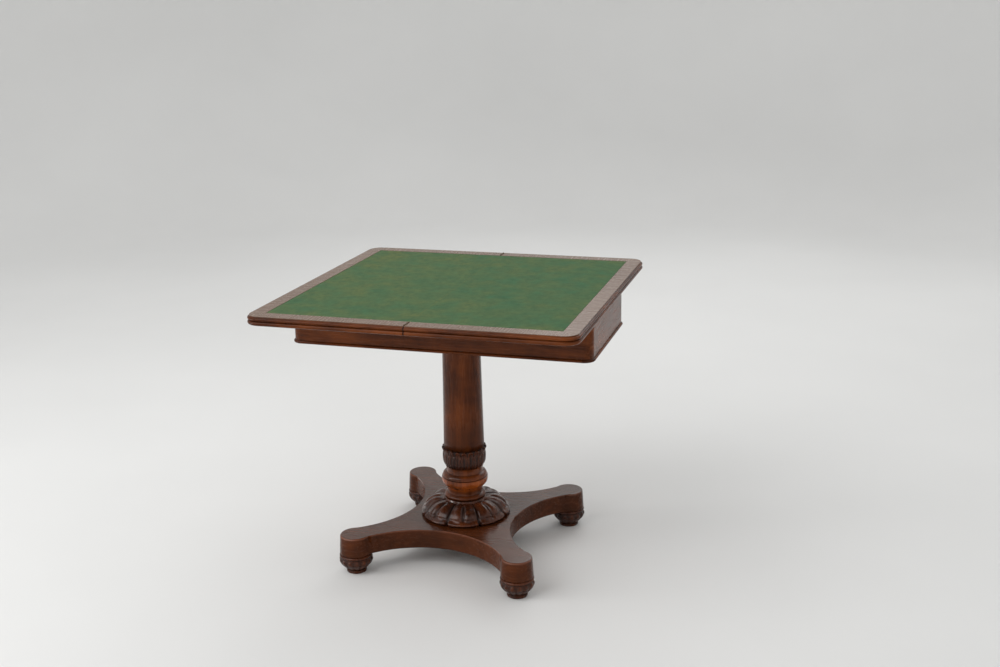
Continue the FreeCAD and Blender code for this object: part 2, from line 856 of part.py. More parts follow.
spigot_bottom = collar_top - s.spigot_depth
base_spigot_bottom = boss_top - s.base_spigot_depth
tie_stack = s.tie_washer_thick + s.tie_nut_height + s.rod_tail
top_recess_floor = bearer_top - tie_stack
low_recess_ceiling = s.platform_bottom + s.tie_recess_depth
socket_radius = s.spigot_radius + s.joinery_clear


def make_turning(label, profile, bends=None):
    """One turned piece of the column, drawn as radius and height."""
    body = new_body(label)
    turn(body, outline(new_sketch(body, "XZ_Plane"), profile, bends))
    doc.recompute()
    return body


def make_shaft():
    """Tapered shaft with a tenon into the bearer and a spigot down through the collar."""
    profile = [
        (rod_hole, spigot_bottom),
        (s.spigot_radius, spigot_bottom),
        (s.spigot_radius, collar_top),
        (s.shaft_foot_radius, collar_top),
        (s.shaft_top_radius, bearer_bottom),
        (s.tenon_radius, bearer_bottom),
        (s.tenon_radius, bearer_top),
        (s.tie_recess_radius, bearer_top),
        (s.tie_recess_radius, top_recess_floor),
        (rod_hole, top_recess_floor),
    ]
    keep(make_turning("column_shaft", profile), "column_shaft")


def make_collar():
    """Swelling collar whose rim is scalloped between the leaf tips."""
    roll_seat = s.collar_radius - s.collar_roll / 2
    roll_foot = collar_top - 2 * s.collar_roll
    profile = [
        (socket_radius, knop_top),
        (s.collar_foot_radius, knop_top),
        (s.collar_radius, knop_top + s.collar_flare),
        (roll_seat, roll_foot),
        (roll_seat, collar_top),
        (socket_radius, collar_top),
    ]
    body = make_turning("leaf_collar", profile, {1: (s.collar_swell, 1), 3: (None, 1)})
    start = (s.shaft_foot_radius, 0, collar_top)
    notch = cut_rod(body, start, "x", s.collar_roll, s.collar_radius)
    repeat_round(body, notch, s.collar_leaves)
    keep(body, "leaf_collar")


def make_knop():
    """Ring, neck, belly and waist under the collar, with a spigot into the platform."""
    ring_top = boss_top + 2 * s.knop_ring_radius
    belly_foot = ring_top + s.knop_neck_height
    belly_top = belly_foot + s.belly_height
    quirk_top = belly_top + s.quirk_height
    quirk_radius = s.belly_top_radius - s.quirk_depth
    profile = [
        (rod_hole, base_spigot_bottom),
        (s.base_spigot_radius, base_spigot_bottom),
        (s.base_spigot_radius, boss_top),
        (s.knop_ring_seat, boss_top),
        (s.knop_ring_seat, ring_top),
        (s.knop_neck_radius, ring_top),
        (s.belly_foot_radius, belly_foot),
        (s.belly_top_radius, belly_top),
        (quirk_radius, belly_top),
        (quirk_radius, quirk_top),
        (s.waist_radius, quirk_top + s.upper_bead_height),
        (s.collar_foot_radius, knop_top),
        (socket_radius, knop_top),
        (socket_radius, spigot_bottom),
        (rod_hole, spigot_bottom),
    ]
    bends = {
        3: (None, 1),
        5: (s.knop_neck_curve, -1),
        6: (s.belly_curve, 1),
        9: (s.upper_bead_curve, 1),
        10: (s.waist_curve, -1),
    }
    keep(make_turning("column_knop", profile, bends), "column_knop")


def make_boss():
    """Petalled dome on the platform: a turned swelling with a groove between each two petals."""
    rim_level = platform_top + s.boss_rim_height
    bore = s.base_spigot_radius + s.joinery_clear
    profile = [
        (bore, platform_top),
        (s.boss_radius - s.boss_undercut, platform_top),
        (s.boss_radius, rim_level),
        (s.boss_top_radius, boss_top),
        (bore, boss_top),
    ]
    body = make_turning("petal_boss", profile, {1: (s.boss_rim_curve, 1), 2: (s.boss_curve, 1)})
    run = s.boss_radius - s.boss_top_radius
    rise = boss_top - rim_level
    chord = root(run * run + rise * rise)
    away = root(s.boss_curve * s.boss_curve - chord * chord / 4)
    centre_x = (s.boss_radius + s.boss_top_radius) / 2 - away * rise / chord
    centre_z = (rim_level + boss_top) / 2 - away * run / chord
    groove = body.newObject("PartDesign::SubtractiveTorus", "Groove")
    bind(groove, "Radius1", s.boss_curve + s.boss_groove_radius / 4)
    bind(groove, "Radius2", s.boss_groove_radius)
    groove.Angle3 = GROOVE_SWEEP
    upright = Rotation(Vector(0, 0, 1), Vector(1, 0, 0), Vector(0, 1, 0), "ZXY")
    place(groove, (centre_x, as_size(0), centre_z), upright)
    repeat_round(body, groove, s.boss_petals)
    spin(body, s.pedestal_turn + s.boss_turn)
    keep(body, "petal_boss")


def make_platform():
    """Four concave-sided arms that end in round drums."""
    body = new_body("platform")
    end = s.foot_spread - NECK_ALONG * s.drum_radius
    reach = s.foot_spread + NECK_ACROSS * s.drum_radius
    corners = [(-end, -reach), (end, -reach), (reach, -end), (reach, end)]
    corners += [(end, reach), (-end, reach), (-reach, end), (-reach, -end)]
    sweep = bow_radius(end, reach - s.platform_mid)
    bends = {number: (sweep, -1) for number in range(0, len(corners), 2)}
    arms = outline(new_sketch(body, "XY_Plane", (0, 0, s.platform_bottom)), corners, bends)
    pad(body, arms, s.platform_thick)
    doc.recompute()

    head = s.drum_radius - s.drum_draft
    profile = [
        (0, s.platform_bottom),
        (s.drum_radius, s.platform_bottom),
        (head, platform_top - s.drum_round),
        (head - s.drum_round, platform_top),
        (0, platform_top),
    ]
    shift = (s.foot_spread, 0, s.foot_spread)
    drum = turn(body, outline(new_sketch(body, "XZ_Plane", shift), profile, {2: (s.drum_round, 1)}))
    repeat_round(body, drum, as_size(FEET))
    doc.recompute()

    clear = s.joinery_clear
    spigot_hole = s.base_spigot_radius + clear
    cut_rod(body, (0, 0, base_spigot_bottom), "z", spigot_hole, platform_top - base_spigot_bottom)
    cut_rod(body, (0, 0, s.platform_bottom), "z", rod_hole, s.platform_thick)
    cut_rod(body, (0, 0, s.platform_bottom), "z", s.tie_recess_radius, s.tie_recess_depth)
    for x, y in ((-1, -1), (1, -1), (1, 1), (-1, 1)):
        spot = (x * s.foot_spread, y * s.foot_spread, s.platform_bottom)
        cut_rod(body, spot, "z", s.dowel_radius + clear, s.dowel_length + clear)
    spin(body, s.pedestal_turn)
    keep(body, "platform")


def make_feet():
    """Turned feet: floor ring, cup, carved band and top ring, with a dowel into the drum."""
    ring_half = s.foot_ring_height / 2
    cup_top = s.foot_ring_height + s.foot_cup_height
    band_top = cup_top + s.foot_band_height
    groove_top = band_top + s.foot_groove
    ring_seat = s.foot_ring_radius - ring_half
    top_seat = s.foot_top_ring_radius - (s.platform_bottom - groove_top) / 2
    groove_radius = s.foot_band_radius - s.foot_groove
    profile = [
        (0, 0),
        (ring_seat, 0),
        (ring_seat, s.foot_ring_height),
        (s.foot_neck_radius, s.foot_ring_height),
        (s.foot_band_radius, cup_top),
        (s.foot_band_radius, band_top),
        (groove_radius, band_top),
        (groove_radius, groove_top),
        (top_seat, groove_top),
        (top_seat, s.platform_bottom),
        (s.dowel_radius, s.platform_bottom),
        (s.dowel_radius, s.platform_bottom + s.dowel_length),
        (0, s.platform_bottom + s.dowel_length),
    ]
    bends = {1: (None, 1), 3: (s.foot_cup_curve, 1), 4: (s.foot_band_curve, 1), 8: (None, 1)}
    names = ("front_right", "back_right", "back_left", "front_left")
    for quarter, name in enumerate(names):
        body = new_body(f"foot_{name}")
        turn(body, outline(new_sketch(body, "XZ_Plane", (s.foot_spread, 0, s.foot_spread)), profile, bends))
        spin(body, s.pedestal_turn + QUARTER_TURN * quarter)
        keep(body, f"foot_{name}")


def make_tie():
    """Iron rod down the column, with a washer and a nut at each end."""
    low_washer = low_recess_ceiling - s.tie_washer_thick
    low_nut = low_washer - s.tie_nut_height
    rod_foot = low_nut - s.rod_tail
    keep(rod((0, 0, rod_foot), "z", s.rod_radius, bearer_top - rod_foot), "tie_rod")
    bore = rod_hole
    washers = []
    nuts = []
    top_nut = top_recess_floor + s.tie_washer_thick
    for washer_foot, nut_foot in ((low_washer, low_nut), (top_recess_floor, top_nut)):
        spot = (as_size(0), as_size(0), washer_foot)
        disc = rod(spot, "z", s.tie_washer_radius, s.tie_washer_thick)
        washers.append(trimmed(disc, [rod(spot, "z", bore, s.tie_washer_thick)]))
        nuts.append(nut((as_size(0), as_size(0), nut_foot), s.tie_nut_radius, s.tie_nut_height, bore))
    keep(gathered(washers), "tie_washers")
    keep(gathered(nuts), "tie_nuts")


def make_everything():
    """Builds the sub-parts from the top down."""
    make_turning_leaf()
    keep(make_leaf("flap_leaf", -1), "flap_leaf")
    for side, name in ((1, "fixed"), (-1, "flap")):
        make_banding(side, name)
        make_baize(side, name)
    make_hinges()
    make_pivot()
    make_rails()
    make_beads()
    make_corner_blocks()
    make_frieze_floor()
    make_shaft()
    make_collar()
    make_knop()
    make_boss()
    make_platform()
    make_feet()
    make_tie()


make_everything()

for thing in doc.Objects:
    if "Invalid" in thing.State or "Error" in thing.State:
        raise RuntimeError(f"{thing.Label} failed: {thing.State}")
for node in nodes:
    if node.Shape.isNull() or not node.Shape.isValid():
        raise RuntimeError(f"{node.Label} has no valid shape")

os.makedirs("parts", exist_ok=True)
for node in nodes:
    node.Shape.exportStep(f"parts/{node.Label}.step")
    print(node.Label, len(node.Shape.Solids), round(node.Shape.Volume, 1))
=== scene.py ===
"""Folding card table, opened for play: finishes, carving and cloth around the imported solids."""

import logging
import math
from collections.abc import Callable, Iterable
from dataclasses import dataclass, replace
from enum import Enum

import bpy
from mathutils import Matrix, Vector, noise


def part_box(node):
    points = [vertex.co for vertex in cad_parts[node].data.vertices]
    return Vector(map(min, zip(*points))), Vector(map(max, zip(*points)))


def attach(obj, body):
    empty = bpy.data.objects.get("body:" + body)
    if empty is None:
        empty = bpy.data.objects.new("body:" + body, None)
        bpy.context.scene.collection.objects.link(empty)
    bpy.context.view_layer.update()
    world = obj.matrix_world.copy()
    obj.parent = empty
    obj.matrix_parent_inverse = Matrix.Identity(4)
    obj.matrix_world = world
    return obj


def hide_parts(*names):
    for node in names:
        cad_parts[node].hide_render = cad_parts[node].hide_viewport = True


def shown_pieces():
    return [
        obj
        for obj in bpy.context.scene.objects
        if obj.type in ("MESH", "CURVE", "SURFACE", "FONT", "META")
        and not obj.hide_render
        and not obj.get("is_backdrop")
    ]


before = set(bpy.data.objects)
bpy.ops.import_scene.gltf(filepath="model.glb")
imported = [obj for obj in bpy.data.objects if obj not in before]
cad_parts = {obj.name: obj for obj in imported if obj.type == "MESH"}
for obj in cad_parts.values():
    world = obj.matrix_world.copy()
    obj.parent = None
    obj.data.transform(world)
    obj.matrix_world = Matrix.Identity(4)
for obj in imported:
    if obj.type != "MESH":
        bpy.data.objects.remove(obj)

LOG = logging.getLogger("card_table")
MM = 0.001
FULL_TURN = 2 * math.pi
# Point attribute that holds painted shade for the hollows of turned and carved pieces, from 0 to 1.
HOLLOW = "hollow"
# A colour Mix node has several sockets of one name, so they are known by number.
MIX_SHARE, MIX_FIRST, MIX_SECOND, MIX_COLOUR = 0, 6, 7, 2
# Points of a copied or a turned mesh that lie closer than this are merged.
CAD_WELD = 0.002 * MM
TURNED_WELD = 0.01 * MM
# Radius of the hole down a turned piece of the column, as a share of its outer one.
BORE_SHARE = 0.5
CORNERS = ("front_left", "front_right", "back_left", "back_right")
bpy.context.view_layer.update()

Colour = tuple[float, float, float, float]
Span = tuple[float, float]
Spot = tuple[float, float]
Profile = list[Spot]
Inputs = dict[str | int, object]
Relief = Callable[[float, float, float], tuple[float, float, float]]


def smooth_step(low: float, high: float, value: float) -> float:
    """Rises smoothly from 0 at low to 1 at high."""
    share = min(max((value - low) / (high - low), 0.0), 1.0)
    return share * share * (3 - 2 * share)


def bump(value: float, width: float) -> float:
    """A bell of height 1 at zero that has faded at about twice its width."""
    return math.exp(-((value / width) ** 2))


def plateau(rise: Span, fall: Span, value: float) -> float:
    """Rises smoothly from 0 to 1 over one span and falls back over another one."""
    return smooth_step(*rise, value) * (1 - smooth_step(*fall, value))


def off_middle(turns: float) -> float:
    """How far a place in a row lies from the middle of its leaf, petal or lobe, from 0 to 1."""
    return abs((turns % 1.0) - 0.5) * 2


class Grain(Enum):
    """Which way the fibres of a piece run, as the scale of its pattern along X, Y and Z."""

    ALONG_X = (1.6, 22.0, 22.0)
    ALONG_Y = (22.0, 1.6, 22.0)
    UPRIGHT = (17.0, 17.0, 1.5)
    LEVEL = (2.4, 2.4, 30.0)


class Crease(Enum):
    """Angle in degrees past which an edge stays crisp."""

    POLISHED = 30.0
    CLOTH = 40.0
    TURNED = 50.0
    FLOOR = 60.0


class Slot(Enum):
    """Names of three finishes: polished mahogany, carved mahogany and green baize."""

    POLISHED = "polished_mahogany"
    CARVED = "carved_mahogany"
    CLOTH = "green_baize"


class Wiring:
    """Adds nodes to one node tree and joins their sockets."""

    def __init__(self, tree: bpy.types.NodeTree) -> None:
        """Keeps the tree that nodes are added to."""
        self.tree = tree

    def feed(self, socket: bpy.types.NodeSocket, value: object) -> None:
        """Links a socket to another one, or sets its value."""
        if isinstance(value, bpy.types.NodeSocket):
            self.tree.links.new(value, socket)
        else:
            socket.default_value = value

    def fill(self, node: bpy.types.Node, inputs: Inputs) -> None:
        """Links or sets several inputs of a node, by name or number."""
        for key, value in inputs.items():
            self.feed(node.inputs[key], value)

    def add(self, kind: str, inputs: Inputs | None = None, **settings: object) -> bpy.types.Node:
        """Adds one node.

        Args:
            kind: the node's type name.
            inputs: values or sockets for its inputs, by name or number.
            settings: properties of the node itself.

        Returns:
            The new node.
        """
        node = self.tree.nodes.new(kind)
        for key, value in settings.items():
            setattr(node, key, value)
        self.fill(node, inputs or {})
        return node

    def use(self, group: bpy.types.NodeTree, inputs: Inputs) -> bpy.types.Node:
        """Places a shared group with its inputs."""
        return self.add("ShaderNodeGroup", inputs, node_tree=group)

    def axis(self, place: bpy.types.NodeSocket, letter: str) -> bpy.types.NodeSocket:
        """Takes one coordinate out of a place."""
        return self.add("ShaderNodeSeparateXYZ", {"Vector": place}).outputs[letter]

    def noise(
        self,
        place: bpy.types.NodeSocket,
        scale: float,
        detail: float,
        rough: float = 0.55,
        twist: float = 0.0,
    ) -> bpy.types.NodeSocket:
        """Adds a noise pattern.

        Args:
            place: where it is read.
            scale: how fine it is.
            detail: how many finer layers lie over it.
            rough: how strong those layers are.
            twist: how far it is distorted.

        Returns:
            The socket of its value.
        """
        inputs = {"Vector": place, "Scale": scale, "Detail": detail, "Roughness": rough, "Distortion": twist}
        return self.add("ShaderNodeTexNoise", inputs).outputs["Fac"]

    def remap(
        self, value: object, source: Span, target: tuple[object, object] = (0.0, 1.0)
    ) -> bpy.types.NodeSocket:
        """Maps a value's range on to another one, clamped.

        Args:
            value: the value or its socket.
            source: the range that it has.
            target: what the two ends of that range become.

        Returns:
            The socket of the mapped value.
        """
        inputs = {"Value": value, "From Min": source[0], "From Max": source[1]}
        inputs |= {"To Min": target[0], "To Max": target[1]}
        return self.add("ShaderNodeMapRange", inputs).outputs["Result"]

    def blend(self, share: object, first: object, second: object) -> bpy.types.NodeSocket:
        """Mixes two colours by a share of the second."""
        inputs = {MIX_SHARE: share, MIX_FIRST: first, MIX_SECOND: second}
        return self.add("ShaderNodeMix", inputs, data_type="RGBA").outputs[MIX_COLOUR]

    def calculate(self, how: str, first: object, second: object) -> bpy.types.NodeSocket:
        """Works out one sum of two values."""
        return self.add("ShaderNodeMath", {0: first, 1: second}, operation=how).outputs["Value"]

    def weigh(self, *parts: tuple[object, float]) -> bpy.types.NodeSocket:
        """Adds up values, each times its weight."""
        total: object = 0.0
        for value, weight in parts:
            total = self.calculate("ADD", total, self.calculate("MULTIPLY", value, weight))
        return total


def new_group(
    name: str, inputs: dict[str, str], outputs: dict[str, str]
) -> tuple[Wiring, bpy.types.bpy_prop_collection, bpy.types.Node]:
    """Starts a shader node group.

    Args:
        name: the group's name.
        inputs: socket names and types that go in.
        outputs: socket names and types that come out.

    Returns:
        The wiring of the group, the sockets that it is given and the node that it fills.
    """
    tree = bpy.data.node_groups.new(name, "ShaderNodeTree")
    for direction, sockets in (("INPUT", inputs), ("OUTPUT", outputs)):
        for label, kind in sockets.items():
            tree.interface.new_socket(label, in_out=direction, socket_type=f"NodeSocket{kind}")
    wiring = Wiring(tree)
    return wiring, wiring.add("NodeGroupInput").outputs, wiring.add("NodeGroupOutput")


def new_material(
    name: str,
) -> tuple[bpy.types.Material, Wiring, bpy.types.Node, bpy.types.NodeSocket]:
    """Starts a material.

    Args:
        name: the material's name.

    Returns:
        The material, its wiring, its shader and the socket of the place on the piece.
    """
    material = bpy.data.materials.new(name)
    material.use_nodes = True
    wiring = Wiring(material.node_tree)
    shader = material.node_tree.nodes["Principled BSDF"]
    return material, wiring, shader, wiring.add("ShaderNodeTexCoord").outputs["Object"]


def patina_group() -> bpy.types.NodeTree:
    """Builds the shared handling marks: slow clouds."""
    wiring, given, put = new_group("handling_marks", {"Place": "Vector"}, {"Clouds": "Float"})
    clouds = wiring.noise(given["Place"], scale=6.0, detail=4.0, rough=0.6)
    wiring.fill(put, {"Clouds": wiring.remap(clouds, (0.34, 0.66))})
    return wiring.tree


def fold_group() -> bpy.types.NodeTree:
    """Builds the shared mark along the fold line: 1 on the line, 0 beyond its width on both leaves."""
    wiring, given, put = new_group("fold_line", {"Place": "Vector", "Width": "Float"}, {"Mark": "Float"})
    across = wiring.axis(given["Place"], "X")
    away = wiring.add("ShaderNodeMath", {0: across}, operation="ABSOLUTE").outputs["Value"]
    share = wiring.calculate("DIVIDE", away, given["Width"])
    wiring.fill(put, {"Mark": wiring.remap(share, (0.6, 1.0), (1.0, 0.0))})
    return wiring.tree


def lying_group() -> bpy.types.NodeTree:
    """Builds how much polish the sides of a level piece keep, and a painted highlight band just below its
    top.
    """
    sockets = {"Place": "Vector", "Level": "Float", "Upright": "Float"}
    wiring, given, put = new_group("lying_polish", sockets, {"Share": "Float", "Rubbed": "Float"})
    depth = wiring.calculate("SUBTRACT", given["Level"], wiring.axis(given["Place"], "Z"))
    # A band from 0.2 to 5 mm below the top, for the painted highlight.
    upper = wiring.remap(depth, (0.2 * MM, 1.0 * MM))
    lower = wiring.remap(depth, (2.0 * MM, 5.2 * MM), (1.0, 0.0))
    share = wiring.remap(depth, (2.0 * MM, 5.0 * MM), (1.0, given["Upright"]))
    wiring.fill(put, {"Share": share, "Rubbed": wiring.calculate("MULTIPLY", upper, lower)})
    return wiring.tree


def rising_group() -> bpy.types.NodeTree:
    """Builds painted shade that thins out upwards from the foot of a piece."""
    sockets = {"Place": "Vector", "Foot": "Float", "Reach": "Float"}
    wiring, given, put = new_group("rising_grime", sockets, {"Mark": "Float"})
    above = wiring.calculate("SUBTRACT", wiring.axis(given["Place"], "Z"), given["Foot"])
    share = wiring.calculate("DIVIDE", above, given["Reach"])
    wiring.fill(put, {"Mark": wiring.remap(share, (0.0, 1.0), (0.62, 0.0))})
    return wiring.tree


def timber_group() -> bpy.types.NodeTree:
    """Builds the shared timber pattern: figure, streaks and pores along the fibres, with painted shade in
    hollows.
    """
    sockets = {"Fibres": "Vector", "Dark": "Color", "Body": "Color", "Light": "Color"}
    sockets |= {"Clouds": "Float", "Hollow": "Float"}
    outputs = {"Colour": "Color", "Roughness": "Float", "Height": "Float"}
    wiring, given, put = new_group("timber", sockets, outputs)
    figure = wiring.noise(given["Fibres"], scale=1.5, detail=6.0, twist=1.2)
    streaks = wiring.noise(given["Fibres"], scale=8.0, detail=5.0, rough=0.62)
    pores = wiring.noise(given["Fibres"], scale=30.0, detail=3.0, rough=0.5)
    tone = wiring.weigh((figure, 0.5), (streaks, 0.25), (given["Clouds"], 0.25))
    low = wiring.blend(wiring.remap(tone, (0.25, 0.47)), given["Dark"], given["Body"])
    warm = wiring.blend(wiring.remap(tone, (0.47, 0.78)), low, given["Light"])
    pored = wiring.blend(wiring.remap(pores, (0.60, 0.72), (0.0, 0.5)), warm, given["Dark"])
    # Painted shade: the hollow mark blends the wood towards its dark colour.
    grime = wiring.calculate("MULTIPLY", given["Hollow"], 0.85)
    polish = wiring.remap(streaks, (0.3, 0.7), (0.18, 0.32))
    surface = {
        "Colour": wiring.blend(grime, pored, given["Dark"]),
        "Roughness": wiring.weigh((polish, 1.0), (grime, 0.3)),
        "Height": wiring.remap(pores, (0.55, 0.75), (1.0, 0.0)),
    }
    wiring.fill(put, surface)
    return wiring.tree


def cloth_group() -> bpy.types.NodeTree:
    """Builds the felted cloth: nap, stains, fading that grows towards the flap's end, and fine threads."""
    sockets = {"Place": "Vector", "Green": "Color", "Faded": "Color", "Deep": "Color"}
    sockets |= {"Clouds": "Float", "Fold": "Float"}
    wiring, given, put = new_group("felted_cloth", sockets, {"Colour": "Color", "Height": "Float"})
    place = given["Place"]
    nap = wiring.noise(place, scale=900.0, detail=3.0, rough=0.6)
    mottle = wiring.noise(place, scale=60.0, detail=6.0, rough=0.75)
    soiled = wiring.noise(place, scale=15.0, detail=9.0, rough=0.74)
    weave = {"Vector": place, "Scale": 260.0, "Distortion": 3.0, "Detail": 2.0, "Detail Scale": 1.5}
    threads = wiring.add("ShaderNodeTexWave", weave, bands_direction="DIAGONAL").outputs["Fac"]
    stains = wiring.remap(soiled, (0.38, 0.62), (0.0, 0.66))
    aside = wiring.remap(wiring.axis(place, "X"), (-0.37, 0.05), (0.17, 0.0))
    fading = wiring.weigh((stains, 1.0), (given["Fold"], 0.35), (aside, 1.0), (given["Clouds"], 0.30))
    faded = wiring.blend(fading, given["Green"], given["Faded"])
    mottled = wiring.blend(wiring.remap(mottle, (0.35, 0.65), (0.0, 0.85)), faded, given["Deep"])
    napped = wiring.blend(wiring.remap(nap, (0.3, 0.7), (0.0, 0.35)), mottled, given["Deep"])
    wiring.fill(put, {"Colour": napped, "Height": wiring.weigh((nap, 0.8), (threads, 0.2))})
    return wiring.tree


@dataclass(frozen=True)
class TimberFinish:
    """A polished or plain timber.

    Attributes:
        name: name of the finish.
        dark, body, light: colours of pores, ground and figure.
        specular: how strongly the wood mirrors what faces it.
        coat: how much polish lies on it.
        coat_roughness: how dull that polish is.
        pore_depth: bump distance of the pores in metres.
        coat_index: refractive index of that polish.
        fold_grime: how far painted shade darkens it beside the fold line, in the seam between the leaves, in
            metres.
        upright_polish: share of the polish that the sides below a level top keep.
        polish_level: height of that top, in metres.
        rubbed: colour of the painted highlight band along the edges just below that top.
        shift: how far its figure is moved along X, Y and Z.
        grime_foot: height that painted shade rises from, in metres.
        grime_reach: how far that painted shade rises, in metres.
        pore_strength: how strongly the pores show.
    """

    name: str
    dark: Colour
    body: Colour
    light: Colour
    specular: float
    coat: float
    coat_roughness: float
    pore_depth: float
    coat_index: float = 1.5
    fold_grime: float = 0.0
    upright_polish: float = 1.0
    polish_level: float = 0.0
    rubbed: Colour = (0.0, 0.0, 0.0, 1.0)
    shift: tuple[float, float, float] = (0.0, 0.0, 0.0)
    grime_foot: float = 0.0
    grime_reach: float = 0.0
    pore_strength: float = 0.35

    def material(self, grain: Grain, workshop: "Workshop") -> bpy.types.Material:
        """Makes the material for one run of the fibres.

        Args:
            grain: which way the fibres run.
            workshop: where the shared groups come from.

        Returns:
            The material.
        """
        name = f"{self.name}_{grain.name.lower()}"
        found = bpy.data.materials.get(name)
        if found:
            return found
        material, wiring, shader, place = new_material(name)
        clouds = wiring.use(workshop.patina, {"Place": place}).outputs["Clouds"]
        laid = {"Vector": place, "Location": self.shift, "Scale": grain.value}
        fibres = wiring.add("ShaderNodeMapping", laid).outputs["Vector"]
        # Painted shade: in carved hollows, beside the fold line and rising from a foot.
        hollow = wiring.add("ShaderNodeAttribute", attribute_name=HOLLOW).outputs["Fac"]
        # Painted shade in the seam between the two leaves.
        if self.fold_grime:
            line = wiring.use(workshop.fold, {"Place": place, "Width": self.fold_grime})
            hollow = wiring.calculate("MAXIMUM", hollow, line.outputs["Mark"])
        # Painted shade rising from the foot of the shaft, where the collar meets it.
        if self.grime_reach:
            sockets = {"Place": place, "Foot": self.grime_foot, "Reach": self.grime_reach}
            grime = wiring.use(workshop.rising, sockets)
            hollow = wiring.calculate("MAXIMUM", hollow, grime.outputs["Mark"])
        sockets = {"Fibres": fibres, "Dark": self.dark, "Body": self.body, "Light": self.light}
        wood = wiring.use(workshop.timber, sockets | {"Clouds": clouds, "Hollow": hollow})
        sockets = {"Height": wood.outputs["Height"], "Strength": self.pore_strength}
        relief = wiring.add("ShaderNodeBump", sockets | {"Distance": self.pore_depth})
        colour, polish = wood.outputs["Colour"], self.coat
        if self.upright_polish < 1.0:
            sockets = {"Place": place, "Level": self.polish_level, "Upright": self.upright_polish}
            lying = wiring.use(workshop.lying, sockets)
            polish = wiring.calculate("MULTIPLY", lying.outputs["Share"], self.coat)
            # Painted highlight along the top edges, broken up by the clouds.
            uneven = wiring.calculate("MULTIPLY", lying.outputs["Rubbed"], clouds)
            colour = wiring.blend(uneven, colour, self.rubbed)
        surface = {
            "Base Color": colour,
            "Roughness": wood.outputs["Roughness"],
            "Normal": relief.outputs["Normal"],
            "Specular IOR Level": self.specular,
            "Coat Weight": polish,
            "Coat Roughness": self.coat_roughness,
            "Coat IOR": self.coat_index,
        }
        wiring.fill(shader, surface)
        return material


@dataclass(frozen=True)
class MetalFinish:
    """An aged metal with dull clouds.

    Attributes:
        name: name of the finish.
        bright, dull: colours of rubbed and dulled metal.
        roughness: roughness of rubbed and dulled metal.
        cloud_scale: how much finer its clouds are than those on timber.
    """

    name: str
    bright: Colour
    dull: Colour
    roughness: Span
    cloud_scale: float = 9.0

    def material(self, workshop: "Workshop") -> bpy.types.Material:
        """Makes the material with the shared handling marks."""
        material, wiring, shader, place = new_material(self.name)
        laid = {"Vector": place, "Scale": (self.cloud_scale,) * 3}
        scaled = wiring.add("ShaderNodeMapping", laid).outputs["Vector"]
        clouds = wiring.use(workshop.patina, {"Place": scaled}).outputs["Clouds"]
        surface = {
            "Base Color": wiring.blend(clouds, self.bright, self.dull),
            "Roughness": wiring.remap(clouds, (0.0, 1.0), self.roughness),
            "Metallic": 1.0,
        }
        wiring.fill(shader, surface)
        return material


@dataclass(frozen=True)
class ClothFinish:
    """Green felted cloth.

    Attributes:
        name: name of the finish.
        green, faded, deep: colours of fresh cloth, faded cloth and the shade in the nap.
        nap_depth: bump distance of the nap in metres.
        fold_wear: how far the nap is rubbed beside the fold line, in metres.
        nap_strength: how strongly the nap shows.
        roughness, specular: how dull the cloth is, and how little it mirrors.
        sheen, sheen_roughness: how much its fibres glow at a glancing view, and how softly.
    """

    name: str
    green: Colour
    faded: Colour
    deep: Colour
    nap_depth: float
    fold_wear: float
    nap_strength: float = 0.5
    roughness: float = 0.95
    specular: float = 0.05
    sheen: float = 0.06
    sheen_roughness: float = 0.5

    def material(self, workshop: "Workshop") -> bpy.types.Material:
        """Makes the material from the shared cloth, handling and fold groups."""
        material, wiring, shader, place = new_material(self.name)
        clouds = wiring.use(workshop.patina, {"Place": place}).outputs["Clouds"]
        line = wiring.use(workshop.fold, {"Place": place, "Width": self.fold_wear})
        sockets = {"Place": place, "Green": self.green, "Faded": self.faded, "Deep": self.deep}
        felt = wiring.use(workshop.cloth, sockets | {"Clouds": clouds, "Fold": line.outputs["Mark"]})
        sockets = {"Height": felt.outputs["Height"], "Strength": self.nap_strength}
        relief = wiring.add("ShaderNodeBump", sockets | {"Distance": self.nap_depth})
        surface = {
            "Base Color": felt.outputs["Colour"],
            "Normal": relief.outputs["Normal"],
            "Roughness": self.roughness,
            "Specular IOR Level": self.specular,
            "Sheen Weight": self.sheen,
            "Sheen Roughness": self.sheen_roughness,
        }
        wiring.fill(shader, surface)
        return material


POLISHED = TimberFinish(
    name="polished_mahogany",
    dark=(0.018, 0.005, 0.002, 1.0),
    body=(0.080, 0.019, 0.004, 1.0),
    light=(0.230, 0.058, 0.011, 1.0),
    specular=0.12,
    coat=0.06,
    coat_roughness=0.08,
    pore_depth=0.0004,
)
# Leaf edges: painted shade darkens them beside the fold line, in the seam between the leaves.
LEAF_EDGE = replace(POLISHED, name="leaf_mahogany", fold_grime=0.0024)
RAIL = replace(POLISHED, name="rail_mahogany", body=(0.094, 0.023, 0.005, 1.0), pore_depth=0.0001)
